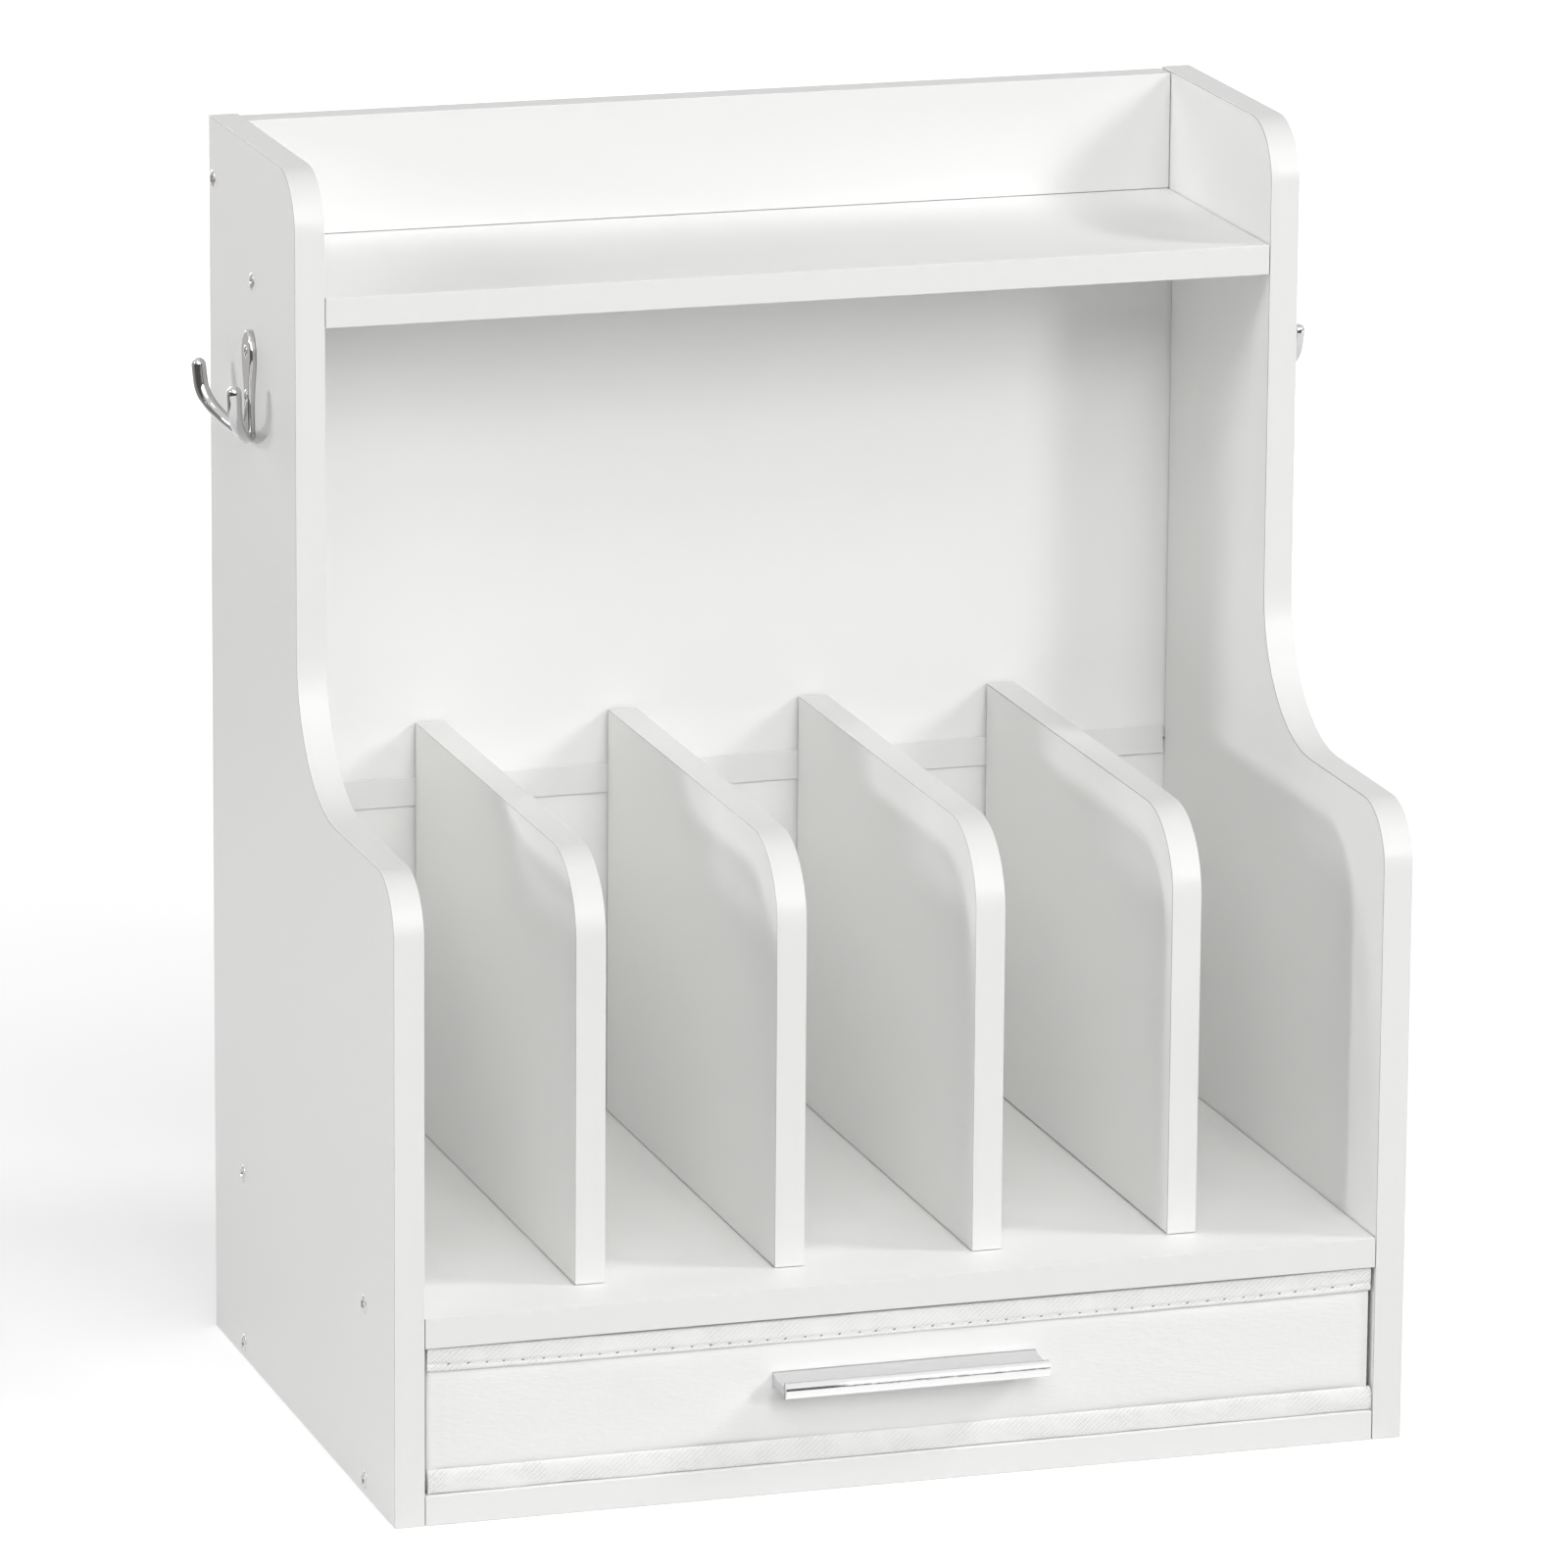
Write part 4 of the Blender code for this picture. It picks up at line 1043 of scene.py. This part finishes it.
def hook_mesh():
    """One finished hook for the left side, with its root's middle at the origin and the wall at X = 0."""
    metal = settings("metal")
    low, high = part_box("left_hook")
    screws = [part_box(f"left_hook_{label}_screw") for label in ("upper", "lower")]
    root = Vector((high.x, (low.y + high.y) / 2, low.z + metal.arm_root))
    seats = [(a.z + b.z) / 2 - root.z for a, b in screws]
    radius = (screws[0][1].z - screws[0][0].z) / 2 + SEAT_PLAY
    hook = hook_plate(metal, high.z - root.z, high.z - low.z, seats, radius)
    arms = hook_arms(metal)
    join = hook.modifiers.new("join", "BOOLEAN")
    join.operation = "UNION"
    join.object = arms
    hook.modifiers.new("facets", "TRIANGULATE")
    mesh = plain_mesh(hook, "hook")
    bpy.data.objects.remove(arms)
    mesh.shade_smooth()
    mesh.set_sharp_from_angle(angle=CAST_EDGE_ANGLE)
    return mesh, root


class SORTER_OT_hooks(bpy.types.Operator):
    """Cast the two double coat hooks"""

    bl_idname = "sorter.hooks"
    bl_label = "Cast the hooks"

    def execute(self, context):
        mesh, root = hook_mesh()
        for node, side, turn in (("left_hook", 1, 0), ("right_hook", -1, math.pi)):
            copy = mesh.copy()
            place = Vector((root.x * side, root.y, root.z))
            copy.transform(Matrix.Translation(place) @ Matrix.Rotation(turn, 4, "Z"))
            made = even_normals(show(node + "_casting", copy, chrome()), keep_sharp=True)
            settle(made, "carcass", "hook_chrome", node)
        return {"FINISHED"}


# Drawer front

# The thickness of the leathercloth and of the non-woven cloth
CLOTH_WALL = 0.0009
COVER_CORNER = 0.0022
# The front's creases, soft and fine: their lengths, seeds and slant
CREASE_LENGTHS = (0.060, 0.030, 0.030)
CREASE_SEED = 3.3
FINE_CREASE_LENGTHS = (0.012, 0.010, 0.0045)
FINE_CREASE_SEED = 9.1
FINE_CREASE_SHARE = 0.10
CREASE_SLANT = math.radians(8)
# The front is calmest behind the handle, fully creased from HANDLE_CALM on, and flat at its ends
HANDLE_CALM = 0.085
CALM_SHARE = 0.25
FLAT_END = 0.0088
# The front is drawn in where a binding holds it
TUCK_RUN = 0.0022
TUCK_SHARE = 0.9


def cover_points(cloth, low, high):
    """The cover's grid of points, up its height and round its front, and the outward direction along it."""
    bend = COVER_CORNER
    plan = [
        (low.x, high.y), *turn_points((low.x + bend, low.y + bend), bend, 180, 270),
        *turn_points((high.x - bend, low.y + bend), bend, 270, 360), (high.x, high.y),
    ]
    line, left = evenly(plan, cloth.grid)
    heights = np.linspace(low.z, high.z, round((high.z - low.z) / cloth.grid) + 1)
    points = np.empty((len(heights), len(line), 3))
    points[:, :, :2] = line
    points[:, :, 2] = heights[:, None]
    return points, -left


class SORTER_OT_cover(bpy.types.Operator):
    """Stretch the leathercloth over the drawer's front and round its ends"""

    bl_idname = "sorter.cover"
    bl_label = "Stretch the cover"

    def execute(self, context):
        cloth = settings("drawer")
        low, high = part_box("drawer_front_cover")
        points, outward = cover_points(cloth, low, high)
        aside, heights = np.abs(points[:, :, 0]), points[:, :, 2]
        foot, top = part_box("drawer_bottom_binding")[1].z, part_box("drawer_top_binding")[0].z
        inside = np.maximum(np.minimum(heights - foot, top - heights), 0)
        swell = 1 - (1 + TUCK_SHARE) * np.exp(-inside / TUCK_RUN)
        tilt = points.copy()
        tilt[:, :, 2] += tilt[:, :, 0] * math.tan(CREASE_SLANT)
        soft = uneven(tilt, CREASE_LENGTHS, CREASE_SEED)
        fine = uneven(tilt, FINE_CREASE_LENGTHS, FINE_CREASE_SEED) * FINE_CREASE_SHARE
        calm = np.clip(aside / HANDLE_CALM, CALM_SHARE, 1)
        ends = np.clip((high.x - aside) / FLAT_END, 0, 1)
        lift = (cloth.puff * swell * calm + cloth.crease * (soft * calm + fine) * swell) * ends
        points[:, :, :2] += outward * lift[:, :, None]
        made = show("front_leathercloth", skin_mesh(points, "front_leathercloth"), leathercloth())
        wall = made.modifiers.new("wall", "SOLIDIFY")
        wall.thickness = CLOTH_WALL
        wall.offset = -1
        settle(made, "drawer", "leathercloth", "drawer_front_cover")
        return {"FINISHED"}


# Bindings

BINDING_STEP = 0.0005
BINDING_INNER_STEP = 0.002
BINDING_CORNER = 0.0014
RIM_ROUND = CLOTH_WALL / 3
# The tapes' waves and their finer unevenness
WAVE_LENGTHS = (0.030, 0.008, 0.008)
FUZZ_LENGTHS = (0.0040, 0.0020, 0.0020)
FUZZ_SHARE = 0.35
FUZZ_SEED_STEP = 4
TOP_TAPE = {"waviness": 0.00022, "seed": 1.7}
FOOT_TAPE = {"waviness": 0.00035, "seed": 5.2}
# The seam's depth and width, and its height at the tape's ends and middle, as shares down from its top
SEAM_SINK = 0.00045
SEAM_WIDTH = 0.0008
STITCH_END_SHARE = 0.66
STITCH_MIDDLE_SHARE = 0.80
# The top tape sags between its ends
TOP_SAG = 0.0009
SAG_POWER = 4
# The foot tape's right end bulges past the front's
FOOT_BULGE = 0.0013
BULGE_RUN = 0.006
BULGE_RISE = 0.003
# The foot tape's round belly, by its angles in radians, and how far its back reaches into the front
BELLY_START, BELLY_END = 0.12, math.pi - 0.02
BELLY_STEPS = 23
FOOT_TUCK = 0.0001


def sag_shape(across):
    """The sag at a share of the way from a tape's middle to its end: 1 in the middle, 0 at the end."""
    return 1 - np.minimum(1, np.abs(across)) ** SAG_POWER


def seam_heights(x, low, high):
    """The height of the row of stitches at each X, on a tape that doesn't sag."""
    drop = STITCH_END_SHARE + (STITCH_MIDDLE_SHARE - STITCH_END_SHARE) * sag_shape(x / high.x)
    return high.z - drop * (high.z - low.z)


def sewn_strip(name, outer, inner, box, waviness, seed, seam_sinks=False, bulge=0.0, sag=0.0):
    """A sewn tape along X, from its section's lines in Y and Z. Its outer line swells and waves.

    It may dip along its seam in front, push its right end out by a bulge, and sag in its middle.
    """
    low, high = box
    line, left = evenly(outer, BINDING_STEP)
    back, _ = evenly(inner, BINDING_INNER_STEP)
    section = np.concatenate([line, back])
    outward = np.concatenate([left, np.zeros_like(back)])[:, None]
    across = np.linspace(low.x, high.x, round((high.x - low.x) / BINDING_STEP) + 1)
    points = np.empty((len(section), len(across), 3))
    points[:, :, 0] = across
    points[:, :, 1:] = section[:, None]
    lift = uneven(points, WAVE_LENGTHS, seed) * waviness
    lift += uneven(points, FUZZ_LENGTHS, seed + FUZZ_SEED_STEP) * waviness * FUZZ_SHARE
    if seam_sinks:
        dip = np.exp(-((points[:, :, 2] - seam_heights(across, low, high)) / SEAM_WIDTH) ** 2)
        dip[points[:, :, 1] > outer[0][0] + BINDING_CORNER] = 0
        lift -= dip * SEAM_SINK
    points[:, :, 1:] += outward * lift[:, :, None]
    heights = points[:, :, 2]
    stretch = np.clip((across - high.x) / BULGE_RUN + 1, 0, 1) ** 2
    points[:, :, 0] += bulge * stretch * np.clip((heights.max() - heights) / BULGE_RISE, 0, 1) ** 0.5
    points[:, :, 2] -= sag * sag_shape(across / high.x)
    return skin_mesh(points, name, closed=(True, False), caps=True)


class SORTER_OT_bindings(bpy.types.Operator):
    """Sew the bindings over the drawer front's top and foot, and over the rim of its walls"""

    bl_idname = "sorter.bindings"
    bl_label = "Sew the bindings"

    def execute(self, context):
        self.top()
        self.foot()
        rim = rounded_copy("drawer_rim_binding", "rim_binding", RIM_ROUND, plain_cloth())
        settle(rim, "drawer", "nonwoven", "drawer_rim_binding")
        return {"FINISHED"}

    def top(self):
        """Over the top edge of the front."""
        low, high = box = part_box("drawer_top_binding")
        bend, wall = BINDING_CORNER, CLOTH_WALL
        outer = [
            (low.y + wall / 2, low.z), (low.y, low.z + wall),
            *turn_points((low.y + bend, high.z - bend), bend, 180, 90),
            *turn_points((high.y - bend, high.z - bend), bend, 90, 0), (high.y, low.z),
        ]
        inner = [
            (high.y - wall, low.z), (high.y - wall, high.z - wall), (low.y + wall, high.z - wall),
            (low.y + wall, low.z),
        ]
        mesh = sewn_strip("top_binding", outer, inner, box, **TOP_TAPE, seam_sinks=True, sag=TOP_SAG)
        settle(show("top_binding", mesh, dotted_cloth()), "drawer", "nonwoven", "drawer_top_binding")

    def foot(self):
        """Along the foot of the front, fuller than the top one."""
        low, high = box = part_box("drawer_bottom_binding")
        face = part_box("drawer_front_cover")[0].y
        belly, depth = (high.z - low.z) / 2, face - low.y
        outer = [(high.y, low.z), (face, low.z), *[
            (face - depth * math.sin(t) ** 0.5, low.z + belly - belly * math.cos(t))
            for t in np.linspace(BELLY_START, BELLY_END, BELLY_STEPS + 1)
        ]]
        back, floor = face - FOOT_TUCK, low.z + CLOTH_WALL
        inner = [(back, high.z - WELD), (back, floor), (high.y, floor)]
        mesh = sewn_strip("foot_binding", outer, inner, box, **FOOT_TAPE, bulge=FOOT_BULGE)
        settle(show("foot_binding", mesh, dotted_cloth()), "drawer", "nonwoven", "drawer_bottom_binding")


# Stitches

THREAD_SIDES = 6
THREAD_STEPS = 6
# A thread's run as a share of the pitch
THREAD_RUN_SHARE = 0.78
# How deep a thread lies and how thick its ends are, as shares of its thickness
THREAD_SINK_SHARE = 0.55
THREAD_END_SHARE = 0.6
THREAD_SIZES = {"smallest": 0.94, "largest": 1.04}
# Slant of a needle hole's painted shade, and its size along, across and into the cloth as shares of the pitch
HOLE_SLANT = math.radians(16)
HOLE_SHARES = (0.165, 0.072, 0.060)
HOLE_SIZES = {"smallest": 0.85, "largest": 1.05}
HOLE_SIDES, HOLE_RINGS = 12, 8


def thread_template(run, thickness):
    """One stitch along X on a face that looks to Z: a low arch that dives in at both ends."""
    bm = bmesh.new()
    shares = np.linspace(0, 1, THREAD_STEPS + 1)
    arch = np.sin(math.pi * shares)
    line = [(run * (t - 0.5), 0, thickness * (rise - THREAD_SINK_SHARE)) for t, rise in zip(shares, arch)]
    radii = thickness / 2 * (THREAD_END_SHARE + (1 - THREAD_END_SHARE) * arch)
    add_tube(bm, line, radii.tolist(), THREAD_SIDES)
    return smooth_outward(mesh_from(bm, "thread_template"))


def hole_shade_template(pitch):
    """Painted shade in the hole that the needle pulls between two stitches: a thin slanted dark lens."""
    bm = bmesh.new()
    shape = Matrix.Diagonal((*(pitch * value for value in HOLE_SHARES), 1))
    bmesh.ops.create_uvsphere(
        bm, u_segments=HOLE_SIDES, v_segments=HOLE_RINGS, radius=0.5,
        matrix=Matrix.Rotation(HOLE_SLANT, 4, "Z") @ shape,
    )
    return smooth_outward(mesh_from(bm, "hole_shade_template"))


class SORTER_OT_stitches(bpy.types.Operator):
    """Sew the row of stitches along the top binding"""

    bl_idname = "sorter.stitches"
    bl_label = "Sew the stitches"

    def execute(self, context):
        cloth = settings("drawer")
        low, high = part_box("drawer_top_binding")
        pitch = cloth.stitch_pitch
        chance = np.random.default_rng(settings("stage").seed)
        count = int((high.x - low.x) / pitch) - 1
        start = low.x + ((high.x - low.x) - (count - 1) * pitch) / 2
        holes = start + np.arange(count) * pitch + chance.uniform(-1, 1, count) * pitch * cloth.stitch_spread
        stitch = thread_template(pitch * THREAD_RUN_SHARE, cloth.thread)
        for name, across, model, finish, sizes in (
            ("stitches", (holes[:-1] + holes[1:]) / 2, stitch, thread(), THREAD_SIZES),
            # The needle holes are dark lenses of painted shade
            ("needle_holes", holes, hole_shade_template(pitch), needle_shade(), HOLE_SIZES),
        ):
            heights = seam_heights(across, low, high) - TOP_SAG * sag_shape(across / high.x)
            places = [(x, low.y + SEAM_SINK / 2, z) for x, z in zip(across, heights)]
            mesh = repeated(name, places, [(0, -1, 0)] * len(places), model, finish, **sizes)
            settle(show(name, mesh, finish), "drawer", "nonwoven")
        return {"FINISHED"}


# The bag behind the front

BAG_CORNER = 0.004
BAG_CORNER_STEPS = 5
BAG_STEP = 0.006
BAG_FOOT_STEPS = 3
BAG_EDGE_ANGLE = math.radians(60)
# For each cloth of the bag, its node, its thickness and the depth of its walls' waves
BAG_CLOTHS = {
    "cloth_shell": ("drawer_fabric_shell", CLOTH_WALL, 0.0004),
    "cloth_lining": ("drawer_lining", 0.0007, 0.0),
}
BAG_WAVE_LENGTHS = (0.05, 0.05, 0.03)
BAG_WAVE_SEED = 11
# A point of the bag belongs to a wall from this share of the way from the middle
WALL_SHARE = 0.98
BASE_ROUND = 0.0008
HIDDEN_BOARDS = ("drawer_front_board", "drawer_left_board", "drawer_right_board", "drawer_back_board")


def bag_plan(low, high):
    """The bag's closed outline from above, with rounded corners."""
    bend = BAG_CORNER
    left, right, front, back = low.x + bend, high.x - bend, low.y + bend, high.y - bend
    ring = []
    for x, y, start in ((right, front, 270), (right, back, 0), (left, back, 90), (left, front, 180)):
        ring += turn_points((x, y), bend, start, start + 90, BAG_CORNER_STEPS)
    return ring + ring[:1]


def bag_mesh(name, low, high, wall, waviness):
    """An open bag with rounded corners and a closed floor: up its outside, over its rim, down its inside."""
    near, far = np.array(low), np.array(high)
    centre, half = (near + far)[:2] / 2, (far - near)[:2] / 2
    outer, _ = evenly(bag_plan(low, high), BAG_STEP)
    up = np.linspace(low.z + wall, high.z, round((high.z - low.z) / BAG_STEP) + 1)
    turns = np.linspace(0, math.pi / 2, BAG_FOOT_STEPS + 1)[:-1]
    insets = [*(wall * (1 - np.sin(turns))), *[0] * len(up), *[wall] * len(up)]
    heights = [*(low.z + wall * (1 - np.cos(turns))), *up, *up[::-1]]
    points = np.empty((len(insets), len(outer) - 1, 3))
    for ring, inset, height in zip(points, insets, heights):
        ring[:, :2] = centre + (outer[:-1] - centre) * (half - inset) / half
        ring[:, 2] = height
    away = (points[:, :, :2] - centre) / half
    push = np.where(np.abs(away) > WALL_SHARE, np.sign(away), 0)
    free = np.sin(np.pi * np.clip((points[:, :, 2] - low.z) / (high.z - low.z), 0, 1)) ** 0.5
    waves = np.abs(uneven(points, BAG_WAVE_LENGTHS, BAG_WAVE_SEED)) * free * waviness
    points[:, :, :2] -= push * waves[:, :, None]
    mesh = smooth_outward(skin_mesh(points, name, closed=(False, True)), close_holes=True)
    mesh.set_sharp_from_angle(angle=BAG_EDGE_ANGLE)
    return mesh


class SORTER_OT_bag(bpy.types.Operator):
    """Make the drawer's cloth shell, its lining and the covered board on its floor"""

    bl_idname = "sorter.bag"
    bl_label = "Make the bag"

    def execute(self, context):
        for name, (node, wall, waviness) in BAG_CLOTHS.items():
            mesh = bag_mesh(name, *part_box(node), wall, waviness)
            settle(show(name, mesh, dotted_cloth()), "drawer", "nonwoven", node)
        floor = rounded_copy("drawer_base_board", "covered_floor", BASE_ROUND, plain_cloth())
        settle(floor, "drawer", "nonwoven", "drawer_base_board")
        for node in HIDDEN_BOARDS:
            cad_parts[node].material_slots[0].material = fibreboard()
        return {"FINISHED"}


# Handle

# The web's height at its root, the share of it that is left at the bead, and how fast it thins
ROOT_HEIGHT = 0.0078
WEB_THIN_SHARE = 0.41
WEB_FALL = 4.6
WEB_STEPS = 18
# The bead's depth, the share of it that its round nose takes, and the radius at its rear corners
BEAD_DEPTH = 0.0040
BEAD_NOSE_SHARE = 0.88
BEAD_ROUND = 0.0008
BEAD_STEPS = 24
BEAD_REAR_STEPS = 5
# Half of the nose's flat tip, as a share of half of the bead's height
BEAD_TIP_SHARE = 0.02
END_SEGMENTS = 2


def handle_section(front, back, half_bead):
    """The section's closed outline in Y and Z: a web that thins to the front and ends in a rounded bead."""
    rear = front + BEAD_DEPTH
    upper = []
    for t in np.linspace(0, 1, WEB_STEPS + 1):
        thin = WEB_THIN_SHARE + (1 - WEB_THIN_SHARE) * math.exp(-WEB_FALL * t)
        upper.append((back - (back - rear) * t, ROOT_HEIGHT / 2 * thin))
    upper += turn_points((rear - BEAD_ROUND, half_bead - BEAD_ROUND), BEAD_ROUND, 0, 90, BEAD_REAR_STEPS)
    nose = BEAD_DEPTH * BEAD_NOSE_SHARE
    for t in np.linspace(math.pi / 2, 0, BEAD_STEPS + 1)[:-1]:
        upper.append((front + nose * (1 - math.cos(t)), half_bead * math.sin(t)))
    upper.append((front, half_bead * BEAD_TIP_SHARE))
    return upper + [(y, -z) for y, z in reversed(upper)]


class SORTER_OT_handle(bpy.types.Operator):
    """Draw the bar handle: a thin satin web that ends in a bright bead"""

    bl_idname = "sorter.handle"
    bl_label = "Draw the handle"

    def execute(self, context):
        low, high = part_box("drawer_handle")
        middle = (low.z + high.z) / 2
        outline = handle_section(low.y, high.y, (high.z - low.z) / 2)
        bm = bmesh.new()
        near, far = [[bm.verts.new((x, y, middle + z)) for y, z in outline] for x in (low.x, high.x)]
        loft(bm, (near, far))
        bmesh.ops.recalc_face_normals(bm, faces=bm.faces)
        ends = [edge for edge in bm.edges if abs(edge.verts[0].co.x - edge.verts[1].co.x) < WELD]
        round_edges(bm, ends, settings("metal").handle_round, END_SEGMENTS)
        for face in bm.faces:
            face.material_index = 1 if face.calc_center_median().y < low.y + BEAD_DEPTH + WELD else 0
        made = show("bar_handle", bm, satin_metal(), bright_metal())
        settle(even_normals(made), "drawer", "handle_metal", "drawer_handle")
        return {"FINISHED"}


# Stage

SENSOR_WIDTH = 36
VIEW_END = 100
LAMP_DISTANCE = 9.0
LAMP_AIM = (0.0, 0.0, 0.30)
# Each lamp's azimuth and elevation round the object, its power in watts and its width
LAMPS = {
    "front_box": (-14, 40, 300.0, 7.0),
    "front_middle": (4, 28, 148.0, 2.4),
    "front_right": (25, 16, 150.0, 1.6),
    "key_front": (40, 40, 50.0, 2.0),
    "key_right": (67, 39, 245.0, 1.8),
    "rear_box": (190, 10, 230.0, 4.0),
    "left_high": (-60, 62, 30.0, 2.0),
    "left_rear": (-98, 26, 95.0, 1.5),
    "left_low": (-83, 12, 155.0, 1.0),
}
# The floor turns to plain white between these distances from the object
FLOOR_NEAR = 0.6
FLOOR_FAR = 3.0
# A dark band round the studio's low part that only reflections see: it draws the dark lines in the metal
BAND_DISTANCE = 5.6
BAND_NEAR = 1.3
BAND_LOW, BAND_HIGH = 0.02, 2.7
BAND_START, BAND_END = -165, 45
BAND_STEPS = 14
# The band grows lighter from front to back
BAND_FRONT, BAND_BACK = -0.6, 2.2
BAND_DARKEST, BAND_LIGHTEST = 0.12, 0.64
BAND_COLOUR = (1.0, 0.965, 0.94)


class SORTER_OT_stage(bpy.types.Operator):
    """Set the camera, the lamps, the floor and the light from all round"""

    bl_idname = "sorter.stage"
    bl_label = "Set the stage"

    def execute(self, context):
        stage = settings("stage")
        self.camera(context, stage)
        self.floor(stage)
        self.world(context, stage)
        for name, values in LAMPS.items():
            self.lamp(name, *values)
        self.band()
        context.scene.view_settings.view_transform = "Standard"
        return {"FINISHED"}

    def camera(self, context, stage):
        data = bpy.data.cameras.new("camera")
        data.lens = stage.lens
        data.sensor_width = SENSOR_WIDTH
        data.clip_end = VIEW_END
        made = new_object("camera", data)
        ahead = -direction(-stage.yaw, stage.pitch)
        right = Vector((math.cos(stage.yaw), -math.sin(stage.yaw), 0))
        up = right.cross(ahead)
        across = right * math.cos(stage.roll) + up * math.sin(stage.roll)
        upward = up * math.cos(stage.roll) - right * math.sin(stage.roll)
        turn = Matrix((across, upward, -ahead)).transposed().to_4x4()
        made.matrix_world = Matrix.Translation(Vector(stage.place)) @ turn
        context.scene.camera = made

    def floor(self, stage):
        """A pale floor that turns to plain white in the distance, in the camera's eyes and in metal."""
        bm = bmesh.new()
        bmesh.ops.create_grid(bm, x_segments=1, y_segments=1, size=stage.floor_size / 2)
        paint = Finish("floor_paint", stage.floor, roughness=0.9, Specular_IOR_Level=0.0)
        far = paint.add("ShaderNodeVectorMath", {0: paint.coordinates()}, operation="LENGTH")
        fade = paint.span(far, FLOOR_NEAR, FLOOR_FAR, stage.floor_glow, 1.0)
        paint.glow(paint.maths("MULTIPLY", paint.seen(), fade))
        show("floor", bm, paint.material)

    def world(self, context, stage):
        world = bpy.data.worlds.new("studio")
        world.use_nodes = True
        world.node_tree.nodes.clear()
        nodes = Nodes(world.node_tree)
        strength = nodes.span(nodes.seen(), 0, 1, stage.ambient, 1.0)
        sky = nodes.add("ShaderNodeBackground", {"Color": (1, 1, 1, 1), "Strength": strength})
        nodes.add("ShaderNodeOutputWorld", {"Surface": sky})
        context.scene.world = world

    def band(self):
        """A dark band behind the camera and on the left, seen by nothing but reflections."""
        bm = bmesh.new()
        posts = []
        for azimuth in np.radians(np.linspace(BAND_START, BAND_END, BAND_STEPS + 1)):
            way = direction(azimuth, 0)
            foot, rim = Vector((0, 0, BAND_LOW)), Vector((0, 0, BAND_HIGH))
            places = (way * BAND_NEAR + foot, way * BAND_DISTANCE + foot, way * BAND_DISTANCE + rim)
            posts.append([bm.verts.new(place) for place in places])
        for a, b in zip(posts, posts[1:]):
            bm.faces.new((a[0], b[0], b[1], a[1]))
            bm.faces.new((a[1], b[1], b[2], a[2]))
        paint = Finish("dark_band", (0, 0, 0), roughness=1.0, Specular_IOR_Level=0.0)
        paint.glow(
            paint.span(paint.axis("Y"), BAND_FRONT, BAND_BACK, BAND_DARKEST, BAND_LIGHTEST), BAND_COLOUR
        )
        band = show("dark_band", bm, paint.material)
        band.visible_camera = False
        band.visible_diffuse = False
        band.visible_shadow = False
        band.visible_transmission = False

    def lamp(self, name, azimuth, elevation, power, width):
        """A round soft lamp, placed by its angles round the object."""
        data = bpy.data.lights.new(name, "AREA")
        data.shape = "DISK"
        data.size = width
        data.energy = power
        made = new_object(name, data)
        away = direction(math.radians(azimuth), math.radians(elevation))
        turn = (-away).to_track_quat("-Z", "Y").to_matrix().to_4x4()
        made.matrix_world = Matrix.Translation(Vector(LAMP_AIM) + away * LAMP_DISTANCE) @ turn


OPERATORS = (
    SORTER_OT_boards, SORTER_OT_back, SORTER_OT_screws, SORTER_OT_hooks, SORTER_OT_cover,
    SORTER_OT_bindings, SORTER_OT_stitches, SORTER_OT_bag, SORTER_OT_handle, SORTER_OT_stage,
)


class SORTER_PT_panel(bpy.types.Panel):
    """The sorter's pieces and their settings"""

    bl_idname = "SORTER_PT_panel"
    bl_label = "Envelope Sorter"
    bl_space_type = "VIEW_3D"
    bl_region_type = "UI"
    bl_category = "Sorter"

    def draw(self, context):
        for operator in OPERATORS:
            self.layout.operator(operator.bl_idname)
        for name in SETTINGS:
            group = getattr(context.scene, name)
            box = self.layout.box()
            for key in group.__annotations__:
                box.prop(group, key)


def register():
    for group in SETTINGS.values():
        bpy.utils.register_class(group)
    for name, group in SETTINGS.items():
        setattr(bpy.types.Scene, name, PointerProperty(type=group))
    for made in (*OPERATORS, SORTER_PT_panel):
        bpy.utils.register_class(made)


def unregister():
    for made in (SORTER_PT_panel, *reversed(OPERATORS)):
        bpy.utils.unregister_class(made)
    for name, group in reversed(SETTINGS.items()):
        delattr(bpy.types.Scene, name)
        bpy.utils.unregister_class(group)


def main():
    register()
    bpy.ops.sorter.boards()
    bpy.ops.sorter.back()
    bpy.ops.sorter.screws()
    bpy.ops.sorter.hooks()
    bpy.ops.sorter.cover()
    bpy.ops.sorter.bindings()
    bpy.ops.sorter.stitches()
    bpy.ops.sorter.bag()
    bpy.ops.sorter.handle()
    bpy.ops.sorter.stage()


if __name__ == "__main__":
    main()
